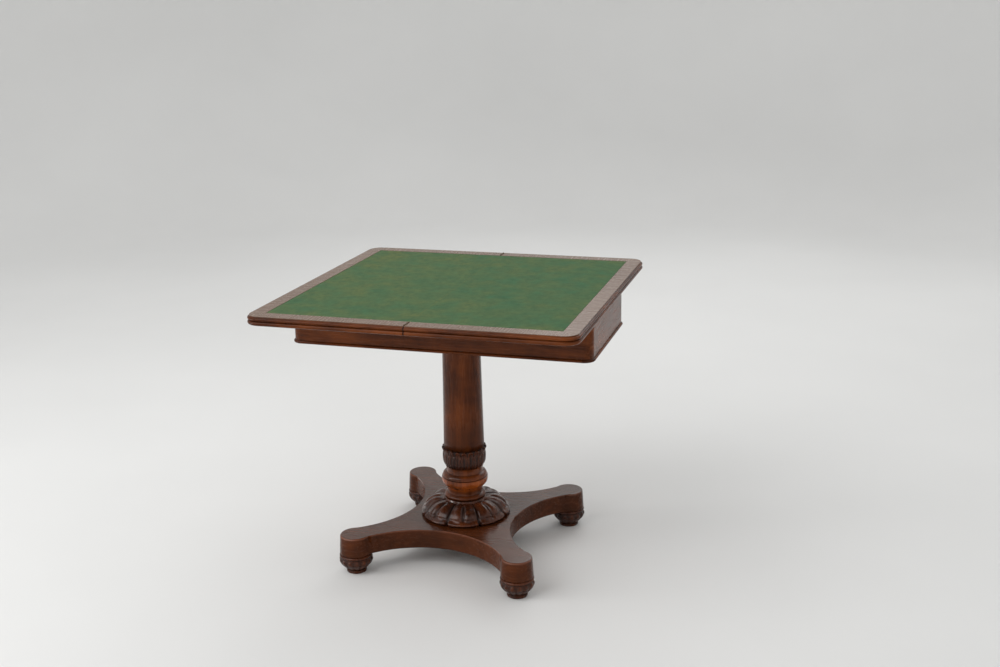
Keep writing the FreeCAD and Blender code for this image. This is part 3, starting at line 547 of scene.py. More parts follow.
# The knop's mahogany: lighter and warmer than the rest, partly its own tone and partly painted bounce light
# from the platform.
TURNED = replace(
    POLISHED,
    name="turned_mahogany",
    body=(0.300, 0.066, 0.010, 1.0),
    light=(0.500, 0.134, 0.020, 1.0),
    coat=0.70,
    coat_roughness=0.08,
    coat_index=1.3,
    shift=(2.0, 1.0, 0.4),
)
LEVEL = TimberFinish(
    name="level_mahogany",
    dark=(0.026, 0.008, 0.003, 1.0),
    body=(0.064, 0.017, 0.005, 1.0),
    light=(0.118, 0.030, 0.008, 1.0),
    specular=0.08,
    coat=1.0,
    coat_roughness=0.20,
    pore_depth=0.0002,
    coat_index=1.40,
    upright_polish=0.15,
    # Painted highlight along the top edges of the platform.
    rubbed=(0.190, 0.060, 0.028, 1.0),
)
CARVED = TimberFinish(
    name="carved_mahogany",
    dark=(0.008, 0.003, 0.002, 1.0),
    body=(0.056, 0.014, 0.005, 1.0),
    light=(0.155, 0.040, 0.010, 1.0),
    specular=0.20,
    coat=0.36,
    coat_roughness=0.10,
    pore_depth=0.0003,
)
LEAFAGE = replace(CARVED, name="leafage_mahogany", coat=0.12, coat_roughness=0.15)
BANDING = TimberFinish(
    name="cross_banding",
    dark=(0.160, 0.097, 0.065, 1.0),
    body=(0.180, 0.112, 0.077, 1.0),
    light=(0.210, 0.133, 0.093, 1.0),
    specular=0.25,
    coat=0.07,
    coat_roughness=0.20,
    pore_depth=0.00001,
)
DEAL = TimberFinish(
    name="carcass_deal",
    dark=(0.120, 0.062, 0.026, 1.0),
    body=(0.230, 0.128, 0.056, 1.0),
    light=(0.330, 0.200, 0.095, 1.0),
    specular=0.20,
    coat=0.0,
    coat_roughness=0.5,
    pore_depth=0.0004,
)
BRASS = MetalFinish("hinge_brass", (0.14, 0.085, 0.035, 1.0), (0.045, 0.030, 0.016, 1.0), (0.32, 0.55))
IRON = MetalFinish("dark_iron", (0.09, 0.085, 0.08, 1.0), (0.035, 0.030, 0.028, 1.0), (0.42, 0.65))
BAIZE = ClothFinish(
    name="green_baize",
    green=(0.046, 0.148, 0.068, 1.0),
    faded=(0.162, 0.166, 0.046, 1.0),
    deep=(0.034, 0.096, 0.044, 1.0),
    nap_depth=0.0006,
    fold_wear=0.0018,
)


def deselect() -> None:
    """Leaves object mode with nothing selected."""
    if bpy.context.object and bpy.context.object.mode != "OBJECT":
        bpy.ops.object.mode_set(mode="OBJECT")
    bpy.ops.object.select_all(action="DESELECT")


def choose(piece: bpy.types.Object) -> None:
    """Selects one piece alone and makes it active."""
    deselect()
    piece.select_set(True)
    bpy.context.view_layer.objects.active = piece


def edit_all() -> None:
    """Goes into edit mode with all of the active piece selected."""
    bpy.ops.object.mode_set(mode="EDIT")
    bpy.ops.mesh.select_all(action="SELECT")


def new_piece(name: str) -> bpy.types.Object:
    """Names the primitive that was just added, and goes into edit mode with all of it selected."""
    piece = bpy.context.object
    piece.name = name
    piece.data.name = name
    edit_all()
    return piece


def modify(piece: bpy.types.Object, kind: str, **settings: object) -> None:
    """Applies a modifier to the active piece.

    Args:
        piece: the active piece.
        kind: the modifier's type name.
        settings: its properties.
    """
    modifier = piece.modifiers.new(kind.lower(), kind)
    for key, value in settings.items():
        setattr(modifier, key, value)
    bpy.ops.object.modifier_apply(modifier=modifier.name)


def arc(start: Spot, end: Spot, bulge: float, count: int) -> Profile:
    """Points of an arc after its start.

    Args:
        start: first point, which isn't returned.
        end: last point, which is.
        bulge: how far the middle stands to the left of the way from start to end.
        count: how many points.

    Returns:
        The points as radius and height.
    """
    first, last = Vector(start), Vector(end)
    along = last - first
    aside = Vector((-along.y, along.x)).normalized()
    points = []
    for number in range(1, count + 1):
        share = number / count
        spot = first + along * share + aside * (bulge * 4 * share * (1 - share))
        points.append((spot.x, spot.y))
    return points


@dataclass(frozen=True)
class Curve:
    """One stretch of a turned profile that is drawn upwards, in metres.

    Attributes:
        radius: radius of its end. Zero or less counts back from the widest radius.
        height: height of its end above the foot. Zero or less counts down from the crown.
        bulge: how far its middle stands to the left of the straight way.
        count: how many points it has.
    """

    radius: float
    height: float
    bulge: float = 0.0
    count: int = 1


@dataclass(frozen=True)
class Blank:
    """Where a turned piece lies, in metres.

    Attributes:
        bore: radius of the hole through it.
        widest: its widest radius.
        foot, crown: heights of its two ends.
    """

    bore: float
    widest: float
    foot: float
    crown: float

    def profile(self, foot_radius: float, curves: Iterable[Curve]) -> Profile:
        """Draws the profile up the outside and closes it down the bore.

        Args:
            foot_radius: radius of the outside at the foot.
            curves: the stretches from there to the crown.

        Returns:
            The closed profile.
        """
        points: Profile = [(self.bore, self.foot), (foot_radius, self.foot)]
        for curve in curves:
            radius = curve.radius if curve.radius > 0 else self.widest + curve.radius
            height = self.foot + curve.height if curve.height > 0 else self.crown + curve.height
            points += arc(points[-1], (radius, height), curve.bulge, curve.count)
        return points + [(self.bore, self.crown), (self.bore, self.foot)]


def turned_blank(name: str, profile: Profile, steps: int) -> bpy.types.Object:
    """Draws a profile point by point and spins it about the Z axis.

    Args:
        name: name of the piece.
        profile: radius and height of each point, closed by its last point.
        steps: how many steps the spin has.

    Returns:
        The turned mesh, at the origin.
    """
    deselect()
    bpy.ops.mesh.primitive_plane_add(size=MM)
    piece = new_piece(name)
    bpy.ops.mesh.merge(type="CENTER")
    radius, height = profile[0]
    bpy.ops.transform.translate(value=(radius, 0.0, height))
    for (radius, height), (next_radius, next_height) in zip(profile, profile[1:]):
        step = (next_radius - radius, 0.0, next_height - height)
        bpy.ops.mesh.extrude_vertices_move(TRANSFORM_OT_translate={"value": step})
    bpy.ops.mesh.select_all(action="SELECT")
    bpy.ops.mesh.spin(steps=steps, angle=FULL_TURN, center=(0.0, 0.0, 0.0), axis=(0.0, 0.0, 1.0))
    bpy.ops.mesh.select_all(action="SELECT")
    bpy.ops.mesh.remove_doubles(threshold=TURNED_WELD)
    bpy.ops.mesh.normals_make_consistent(inside=False)
    bpy.ops.object.mode_set(mode="OBJECT")
    return piece


def carve(piece: bpy.types.Object, relief: Relief) -> None:
    """Moves the points of a turned blank outwards and upwards, and paints shade into its hollows.

    Args:
        piece: the blank, turned about the Z axis.
        relief: gives the outward move, the upward move and the painted shade of the hollow from 0 to 1
        for an angle, a radius and a height.
    """
    hollows = piece.data.attributes.new(HOLLOW, "FLOAT", "POINT")
    for point in piece.data.vertices:
        radius = math.hypot(point.co.x, point.co.y)
        angle = math.atan2(point.co.y, point.co.x)
        out, up, hollow = relief(angle, radius, point.co.z)
        grown = (radius + out) / radius if radius > MM else 1.0
        point.co = (point.co.x * grown, point.co.y * grown, point.co.z + up)
        # Painted shade in the hollows, kept as a point attribute.
        hollows.data[point.index].value = min(max(hollow, 0.0), 1.0)
    piece.data.update()


def soften(piece: bpy.types.Object, crease: Crease) -> None:
    """Shades a piece smooth except at its crisp edges."""
    choose(piece)
    bpy.ops.object.shade_smooth_by_angle(angle=math.radians(crease.value))


def dress(piece: bpy.types.Object, material: bpy.types.Material) -> None:
    """Gives a piece one material in its first slot."""
    piece.data.materials.clear()
    piece.data.materials.append(material)


def dress_nodes(nodes: Iterable[str], material: bpy.types.Material) -> None:
    """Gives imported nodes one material."""
    for node in nodes:
        dress(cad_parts[node], material)


def stand_in(piece: bpy.types.Object, node: str, body: str, material: bpy.types.Material) -> None:
    """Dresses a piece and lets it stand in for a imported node.

    Args:
        piece: the new piece.
        node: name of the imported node.
        body: body that it rides on.
        material: its finish.
    """
    dress(piece, material)
    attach(piece, body)
    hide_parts(node)


def ease_foot(
    piece: bpy.types.Object,
    width: float,
    steps: int = 4,
    flat: float = 0.5,
    sharp: float = 50.0,
    slack: float = 0.05 * MM,
) -> None:
    """Rounds off the sharp edges round the underside of a piece.

    Args:
        piece: the active piece.
        width: how far those edges are rounded off, in metres.
        steps: how many faces the rounding has across.
        flat: angle in degrees under which faces are joined first.
        sharp: angle in degrees past which an edge is sharp.
        slack: how far above the lowest point an edge still lies on the underside, in metres.
    """
    level = min(point.co.z for point in piece.data.vertices) + slack
    bpy.ops.object.mode_set(mode="EDIT")
    bpy.ops.mesh.dissolve_limited(angle_limit=math.radians(flat))
    bpy.ops.mesh.select_mode(type="EDGE")
    bpy.ops.mesh.select_all(action="DESELECT")
    bpy.ops.mesh.edges_select_sharp(sharpness=math.radians(sharp))
    bpy.ops.object.mode_set(mode="OBJECT")
    rim = [edge.index for edge in piece.data.edges if edge.select]
    weights = piece.data.attributes.new("bevel_weight_edge", "FLOAT", "EDGE")
    for number in rim:
        ends = [piece.data.vertices[end].co.z for end in piece.data.edges[number].vertices]
        weights.data[number].value = float(max(ends) < level)
    bpy.ops.object.mode_set(mode="EDIT")
    bpy.ops.mesh.select_mode(type="VERT")
    bpy.ops.object.mode_set(mode="OBJECT")
    modify(piece, "BEVEL", width=width, segments=steps, limit_method="WEIGHT", use_clamp_overlap=False)


def polished_copy(node: str, body: str, material: bpy.types.Material, eased: float = 0.0) -> None:
    """Stands a smooth-shaded copy in for a node whose facets would show in its polish.

    Args:
        node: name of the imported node.
        body: body that it rides on.
        material: its finish.
        eased: how far the edges round its underside are rounded off, in metres.
    """
    piece = bpy.data.objects.new(f"{node}_polished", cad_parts[node].data.copy())
    bpy.context.scene.collection.objects.link(piece)
    choose(piece)
    edit_all()
    bpy.ops.mesh.remove_doubles(threshold=CAD_WELD)
    bpy.ops.object.mode_set(mode="OBJECT")
    if eased:
        ease_foot(piece, eased)
    soften(piece, Crease.POLISHED)
    modify(piece, "WEIGHTED_NORMAL", keep_sharp=True)
    stand_in(piece, node, body, material)


class Workshop:
    """Holds the shared groups and hands out the finishes."""

    def __init__(self) -> None:
        """Builds the shared groups and the finishes that have one form."""
        self.patina = patina_group()
        self.timber = timber_group()
        self.cloth = cloth_group()
        self.fold = fold_group()
        self.lying = lying_group()
        self.rising = rising_group()
        self.brass = BRASS.material(self)
        self.iron = IRON.material(self)
        self.baize = BAIZE.material(self)

    def wood(self, finish: TimberFinish, grain: Grain) -> bpy.types.Material:
        """Returns a timber finish for one run of the fibres."""
        return finish.material(grain, self)


@dataclass
class FoldingTop:
    """The two leaves with their banding, cloth and hinges.

    Attributes:
        workshop: where the finishes come from.
        cloth_cells: cells of the cloth across and along one leaf.
        cloth_wave: how far the glued cloth rises and falls, in metres.
        cloth_gap: how far the cloth stops short of the banding, in metres.
        seam_gap: how far it stops short of the fold line, in metres.
        ripples: how close its rises and falls lie, per metre.
        cloth_share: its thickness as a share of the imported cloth's.
    """

    workshop: Workshop
    cloth_cells: tuple[int, int] = (40, 80)
    cloth_wave: float = 0.00012
    cloth_gap: float = 0.0009
    seam_gap: float = 0.00004
    ripples: float = 9.0
    cloth_share: float = 0.7

    def build(self) -> None:
        """Dresses the leaves and lays the cloth."""
        for name, body in (("fixed", "top"), ("flap", "flap")):
            polished_copy(f"{name}_leaf", body, self.workshop.wood(LEAF_EDGE, Grain.LEVEL))
            for side, grain in (("front", Grain.ALONG_Y), ("back", Grain.ALONG_Y), ("end", Grain.ALONG_X)):
                dress_nodes([f"band_{side}_{name}"], self.workshop.wood(BANDING, grain))
            self.lay_cloth(name, body)
        hinges = [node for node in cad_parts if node.startswith("hinge")]
        dress_nodes(hinges, self.workshop.brass)
        dress_nodes(("pivot_plate", "pivot_screws", "pivot_washer", "pivot_nut"), self.workshop.iron)
        dress_nodes(["stop_peg"], self.workshop.wood(DEAL, Grain.UPRIGHT))
        LOG.info("folding top dressed")

    def lay_cloth(self, name: str, body: str) -> None:
        """Lays the cloth of one leaf as a thin sheet with a faint unevenness.

        Args:
            name: fixed or flap.
            body: body that it rides on.
        """
        low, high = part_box(f"baize_{name}")
        side = 1 if high.x > 0 else -1
        outer = max(abs(low.x), abs(high.x)) - self.cloth_gap
        width = outer - self.seam_gap
        length = high.y - low.y - 2 * self.cloth_gap
        across, along = self.cloth_cells
        deselect()
        bpy.ops.mesh.primitive_grid_add(x_subdivisions=across, y_subdivisions=along, size=1.0)
        cloth = new_piece(f"baize_{name}_cloth")
        bpy.ops.transform.resize(value=(width, length, 1.0))
        middle = side * (outer + self.seam_gap) / 2
        bpy.ops.transform.translate(value=(middle, 0.0, high.z - self.cloth_wave))
        bpy.ops.object.mode_set(mode="OBJECT")
        for point in cloth.data.vertices:
            spot = Vector((point.co.x * self.ripples, point.co.y * self.ripples, 0.0))
            point.co.z += self.cloth_wave * noise.noise(spot)
        cloth.data.update()
        modify(cloth, "SOLIDIFY", thickness=self.cloth_share * (high.z - low.z), offset=-1.0)
        soften(cloth, Crease.CLOTH)
        stand_in(cloth, f"baize_{name}", body, self.workshop.baize)


@dataclass
class FriezeBox:
    """The rails, their bead and what lies inside.

    Attributes:
        workshop: where the finishes come from.
    """

    workshop: Workshop

    def build(self) -> None:
        """Dresses the rails, the bead and the carcass."""
        wood = self.workshop.wood
        runs = {"front": Grain.ALONG_X, "back": Grain.ALONG_X, "left": Grain.ALONG_Y, "right": Grain.ALONG_Y}
        for side, grain in runs.items():
            polished_copy(f"rail_{side}", "base", wood(RAIL, grain))
            polished_copy(f"bead_{side}", "base", wood(RAIL, grain))
        for corner in CORNERS:
            polished_copy(f"bead_{corner}", "base", wood(POLISHED, Grain.LEVEL))
            dress_nodes([f"corner_block_{corner}"], wood(DEAL, Grain.UPRIGHT))
        dress_nodes(("column_bearer", "pivot_bearer", "well_partition"), wood(DEAL, Grain.ALONG_Y))
        dress_nodes(("well_floor", "floor_ledgers"), wood(DEAL, Grain.ALONG_X))
        dress_nodes(["pivot_bush"], self.workshop.brass)
        LOG.info("frieze box dressed")


@dataclass
class Knop:
    """The turned knop: ring, neck, belly, bead and waist, with painted shade lines in the quirks between
    them.

    Attributes:
        workshop: where the finishes come from.
        ring, ring_quirk, neck, belly, belly_quirk, bead_seat, bead_lip, bead, bead_quirk, waist,
            crown: the stretches of its profile, from the foot up.
        foot_line: height of the painted shade line at its foot, in metres.
        line_width: half the width of a painted shade line, in metres.
        steps: steps of the turning.
        old_above, old_below: how dark the painted shade is above and below the belly.
        above, below: heights over which that shade sets in, in metres above the foot.
    """

    workshop: Workshop
    ring: Curve = Curve(49.0 * MM, 13.0 * MM, -6.4 * MM, 20)
    ring_quirk: Curve = Curve(47.0 * MM, 13.6 * MM)
    neck: Curve = Curve(51.0 * MM, 33.0 * MM, 1.6 * MM, 14)
    belly: Curve = Curve(-0.6 * MM, 58.8 * MM, -5.0 * MM, 24)
    belly_quirk: Curve = Curve(-3.4 * MM, 59.6 * MM)
    bead_seat: Curve = Curve(-3.2 * MM, 60.2 * MM)
    bead_lip: Curve = Curve(-2.0 * MM, 60.8 * MM)
    bead: Curve = Curve(51.4 * MM, 72.4 * MM, -2.4 * MM, 16)
    bead_quirk: Curve = Curve(49.8 * MM, 73.0 * MM)
    waist: Curve = Curve(51.5 * MM, -0.8 * MM, 1.4 * MM, 14)
    crown: Curve = Curve(50.6 * MM, 0.0)
    foot_line: float = 0.6 * MM
    line_width: float = 1.1 * MM
    steps: int = 160
    old_above: float = 0.66
    old_below: float = 0.86
    above: Span = (55.0 * MM, 62.0 * MM)
    below: Span = (20.0 * MM, 36.0 * MM)

    def build(self) -> None:
        """Turns the knop and dresses it."""
        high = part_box("column_knop")[1]
        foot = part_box("petal_boss")[1].z
        blank = Blank(bore=BORE_SHARE * high.x, widest=high.x, foot=foot, crown=high.z)
        lower = (self.ring, self.ring_quirk, self.neck, self.belly, self.belly_quirk, self.bead_seat)
        upper = (self.bead_lip, self.bead, self.bead_quirk, self.waist, self.crown)
        profile = blank.profile(self.ring.radius, lower + upper)
        piece = turned_blank("column_knop_turned", profile, self.steps)
        quirks = [self.foot_line, self.ring_quirk.height, self.belly_quirk.height, self.bead_quirk.height]
        quirks.append(high.z + self.waist.height - foot)

        def relief(angle: float, radius: float, height: float) -> tuple[float, float, float]:
            """No carving: only painted shade in the quirks, and above and below the belly."""
            lift = height - foot
            lines = max(bump(lift - quirk, self.line_width) for quirk in quirks)
            above = self.old_above * smooth_step(*self.above, lift)
            below = self.old_below * (1 - smooth_step(*self.below, lift))
            return 0.0, 0.0, max(lines, above, below)

        carve(piece, relief)
        soften(piece, Crease.TURNED)
        # Brighter finish: partly the knop's own tone, partly painted bounce light.
        stand_in(piece, "column_knop", "base", self.workshop.wood(TURNED, Grain.UPRIGHT))


@dataclass
class LeafCollar:
    """The collar with two rows of carved leaves whose tips roll out at the top.

    Attributes:
        workshop: where the finishes come from.
        leaves: leaves in each row.
        leaf_rise: how far a leaf stands off the collar, in metres.
        foot_inset: how far its foot lies inside its widest radius, in metres.
        swelling, hollow, lip: the stretches of its wall, with heights as shares of its own.
        rim: the rounded edge at its crown.
        rim_inner: the inner end of that edge.
        leaf_steps: steps of the turning to each leaf.
        core: how far inside the widest radius the carving ends, in metres.
        lower_row, upper_row: shares of the height between which each row of leaves lies.
        upper_rise: shares over which the upper row rises out of the lower one.
        ground: what counts as the level of the blank between leaf tops and gaps.
        rim_share, rim_width, rim_drop: where the rim is notched between the tips, and how deep.
        leaf_width: half the width of a leaf as a share of its room.
        taper: share of its length from which a leaf narrows.
        leaf_edge: how its edge falls off on both sides of that width.
        blade: height of its blade.
        vein, vein_width, vein_end: depth and width of its groove, and where that ends.
        curl, curl_place, curl_width: height of its rolled tip, its place and its width.
        grime: how dark the painted shade in the gaps is.
    """

    workshop: Workshop
    leaves: int = 20
    leaf_rise: float = 2.6 * MM
    foot_inset: float = 10.5 * MM
    swelling: Curve = Curve(-3.0 * MM, 0.36, -2.0 * MM, 20)
    hollow: Curve = Curve(-4.6 * MM, 0.70, -0.9 * MM, 20)
    lip: Curve = Curve(-1.8 * MM, 0.90, 0.5 * MM, 12)
    rim: Curve = Curve(-4.0 * MM, 0.0, -1.2 * MM, 8)
    rim_inner: Curve = Curve(-6.5 * MM, 0.0)
    leaf_steps: int = 18
    core: float = 12.0 * MM
    lower_row: Span = (-0.1, 0.74)
    upper_row: Span = (0.52, 1.03)
    upper_rise: Span = (0.52, 0.70)
    ground: float = 0.9
    rim_share: float = 0.97
    rim_width: float = 5.0 * MM
    rim_drop: float = 1.2
    leaf_width: float = 0.92
    taper: float = 0.45
    leaf_edge: Span = (-0.22, 0.02)
    blade: float = 0.75
    vein: float = 0.55
    vein_width: float = 0.13
    vein_end: Span = (0.75, 0.95)
    curl: float = 0.35
    curl_place: float = 0.88
    curl_width: float = 0.12
    grime: float = 1.1

    def build(self) -> None:
        """Carves the collar and dresses it."""
        low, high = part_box("leaf_collar")
        foot, reach = low.z, high.x
        tall = high.z - foot
        blank = Blank(bore=BORE_SHARE * reach, widest=reach, foot=foot, crown=high.z)
        shares = (self.swelling, self.hollow, self.lip)
        wall = [replace(curve, height=curve.height * tall) for curve in shares]
        profile = blank.profile(reach - self.foot_inset, (*wall, self.rim, self.rim_inner))
        piece = turned_blank("leaf_collar_carved", profile, self.leaf_steps * self.leaves)

        def relief(angle: float, radius: float, height: float) -> tuple[float, float, float]:
            """Two rows of veined leaves, the upper one between the lower, with painted shade in the gaps."""
            if radius < reach - self.core:
                return 0.0, 0.0, 0.0
            share = (height - foot) / tall
            turns = angle * self.leaves / FULL_TURN
            lower = self.leaf_form(turns, share, self.lower_row)
            upper = self.leaf_form(turns + 0.5, share, self.upper_row) * smooth_step(*self.upper_rise, share)
            out = self.leaf_rise * (max(lower, upper) - self.ground)
            drop = 0.0
            if share > self.rim_share and radius > reach - self.rim_width:
                drop = -self.rim_drop * self.leaf_rise * (1 - min(upper, 1.0))
            # Painted shade in the gaps between the leaves.
            return out, drop, self.grime * (self.blade - max(lower, upper))

        carve(piece, relief)
        soften(piece, Crease.TURNED)
        stand_in(piece, "leaf_collar", "base", self.workshop.wood(LEAFAGE, Grain.UPRIGHT))

    def leaf_form(self, turns: float, share: float, row: Span) -> float:
        """Height of one leaf of a row, from 0 beside it to about 1 on its swelling.

        Args:
            turns: place round the row, one whole number to each leaf.
            share: height on the collar from 0 to 1.
            row: shares between which the row lies.

        Returns:
            The height.
        """
        across = off_middle(turns)
        along = (share - row[0]) / (row[1] - row[0])
        if not 0.0 <= along <= 1.0:
            return 0.0
        narrowed = max(along - self.taper, 0.0) / (1 - self.taper)
        half_width = self.leaf_width * math.sqrt(max(1 - narrowed**2, 0.0))
        inner, outer = self.leaf_edge
        inside = 1 - smooth_step(half_width + inner, half_width + outer, across)
        vein = self.vein * bump(across, self.vein_width) * (1 - smooth_step(*self.vein_end, along))
        curl = self.curl * bump(along - self.curl_place, self.curl_width)
        return inside * (self.blade + curl - vein)


@dataclass
class PetalBoss:
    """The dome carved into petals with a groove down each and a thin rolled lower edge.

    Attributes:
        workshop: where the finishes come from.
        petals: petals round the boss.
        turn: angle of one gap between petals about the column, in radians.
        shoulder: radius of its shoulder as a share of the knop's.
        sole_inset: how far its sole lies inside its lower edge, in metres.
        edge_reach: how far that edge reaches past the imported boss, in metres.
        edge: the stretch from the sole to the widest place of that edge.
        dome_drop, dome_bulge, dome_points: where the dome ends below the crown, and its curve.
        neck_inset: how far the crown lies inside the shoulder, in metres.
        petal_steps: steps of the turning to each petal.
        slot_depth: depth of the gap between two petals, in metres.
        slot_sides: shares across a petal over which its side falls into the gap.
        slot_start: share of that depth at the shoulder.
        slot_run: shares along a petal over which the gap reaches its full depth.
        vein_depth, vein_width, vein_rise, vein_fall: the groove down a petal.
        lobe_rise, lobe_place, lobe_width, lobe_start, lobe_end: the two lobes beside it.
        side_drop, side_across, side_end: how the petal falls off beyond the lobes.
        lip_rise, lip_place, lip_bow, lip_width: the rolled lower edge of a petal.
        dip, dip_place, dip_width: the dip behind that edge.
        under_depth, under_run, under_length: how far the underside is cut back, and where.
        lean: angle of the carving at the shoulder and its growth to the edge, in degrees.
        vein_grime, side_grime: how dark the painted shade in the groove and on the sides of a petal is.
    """

    workshop: Workshop
    petals: int = 8
    turn: float = math.radians(-8.2)
    shoulder: float = 0.92
    sole_inset: float = 7.0 * MM
    edge_reach: float = 0.5 * MM
    edge: Curve = Curve(0.0, 5.5 * MM, -0.8 * MM, 14)
    dome_drop: float = 4.0 * MM
    dome_bulge: float = 13.5 * MM
    dome_points: int = 84
    neck_inset: float = 2.0 * MM
    petal_steps: int = 48
    slot_depth: float = 7.5 * MM
    slot_sides: Span = (0.87, 0.98)
    slot_start: float = 0.45
    slot_run: Span = (0.0, 0.5)
    vein_depth: float = 5.0 * MM
    vein_width: float = 0.10
    vein_rise: Span = (0.12, 0.36)
    vein_fall: Span = (0.90, 0.97)
    lobe_rise: float = 2.2 * MM
    lobe_place: float = 0.34
    lobe_width: float = 0.20
    lobe_start: Span = (0.05, 0.45)
    lobe_end: Span = (0.84, 0.95)
    side_drop: float = 0.9
    side_across: Span = (0.5, 0.88)
    side_end: Span = (0.85, 0.97)
    lip_rise: float = 3.4 * MM
    lip_place: float = 0.985
    lip_bow: float = 0.03
    lip_width: float = 0.028
    dip: float = 0.5
    dip_place: float = 0.90
    dip_width: float = 0.03
    under_depth: float = 7.0 * MM
    under_run: Span = (1.03, 1.10)
    under_length: float = 0.25
    lean: Span = (12.0, 76.0)
    vein_grime: float = 0.8
    side_grime: float = 0.5

    def build(self) -> None:
        """Carves the boss and dresses it."""
        low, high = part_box("petal_boss")
        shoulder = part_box("column_knop")[1].x * self.shoulder
        edge = high.x + self.edge_reach
        rim = low.z + self.edge.height
        blank = Blank(bore=BORE_SHARE * shoulder, widest=edge, foot=low.z, crown=high.z)
        dome = Curve(shoulder, -self.dome_drop, -self.dome_bulge, self.dome_points)
        neck = Curve(shoulder - self.neck_inset, 0.0)
        profile = blank.profile(edge - self.sole_inset, (self.edge, dome, neck))
        piece = turned_blank("petal_boss_carved", profile, self.petal_steps * self.petals)

        def relief(angle: float, radius: float, height: float) -> tuple[float, float, float]:
            """Gaps between petals, a groove and two lobes down each, and the rolled edge, with painted shade
            in the gaps, grooves, sides and underside.
            """
            if radius < shoulder:
                return 0.0, 0.0, 0.0
            across = off_middle((angle - self.turn) * self.petals / FULL_TURN)
            along = (radius - shoulder) / (edge - shoulder)
            if height < rim:
                along = 1.0 + self.under_length * (rim - height) / self.edge.height
            return self.petal_form(across, along)

        carve(piece, relief)
        soften(piece, Crease.TURNED)
        stand_in(piece, "petal_boss", "base", self.workshop.wood(CARVED, Grain.UPRIGHT))

    def petal_form(self, across: float, along: float) -> tuple[float, float, float]:
        """Shapes one petal.

        Args:
            across: how far from the middle of the petal, from 0 to 1.
            along: how far from the shoulder to the edge, past 1 on the underside.

        Returns:
            The outward move, the upward move and the painted shade.
        """
        deepening = self.slot_start + (1 - self.slot_start) * smooth_step(*self.slot_run, along)
        slot = smooth_step(*self.slot_sides, across) * deepening
        vein = bump(across, self.vein_width) * plateau(self.vein_rise, self.vein_fall, along)
        lobe = bump(across - self.lobe_place, self.lobe_width)
        lobe *= plateau(self.lobe_start, self.lobe_end, along)
        side = self.side_drop * smooth_step(*self.side_across, across)
        side *= 1 - smooth_step(*self.side_end, along)
        lip = bump(along - self.lip_place + self.lip_bow * across**4, self.lip_width)
        lip -= self.dip * bump(along - self.dip_place, self.dip_width)
        under = smooth_step(*self.under_run, along)
        rise = self.lobe_rise * (lobe - side) - self.slot_depth * slot - self.vein_depth * vein
        rise += self.lip_rise * lip * (1 - slot) - self.under_depth * under
        lean = math.radians(self.lean[0] + self.lean[1] * min(along, 1.0))
        # Painted shade in the gaps, the groove, on the sides and under the edge.
        hollow = max(slot, self.vein_grime * vein, under, self.side_grime * side)
        return rise * math.sin(lean), rise * math.cos(lean), hollow


@dataclass
class Column:
    """The tapered shaft, the leaf collar, the knop, the petalled boss and the rod that ties them.

    Attributes:
        workshop: where the finishes come from.
        shaft_grime: how far up the shaft painted shade reaches from the collar, in metres.
    """

    workshop: Workshop
    shaft_grime: float = 0.095

    def build(self) -> None:
        """Polishes the shaft, makes the turned and carved pieces and dresses the rod."""
        collar_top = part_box("leaf_collar")[1].z
        # The shaft is darker just above the collar: painted shade.
        shaft = replace(POLISHED, name="shaft_mahogany", grime_foot=collar_top, grime_reach=self.shaft_grime)
        polished_copy("column_shaft", "base", self.workshop.wood(shaft, Grain.UPRIGHT))
        for piece in (Knop(self.workshop), LeafCollar(self.workshop), PetalBoss(self.workshop)):
            piece.build()
        dress_nodes(("tie_rod", "tie_washers", "tie_nuts"), self.workshop.iron)
        LOG.info("column carved and polished")


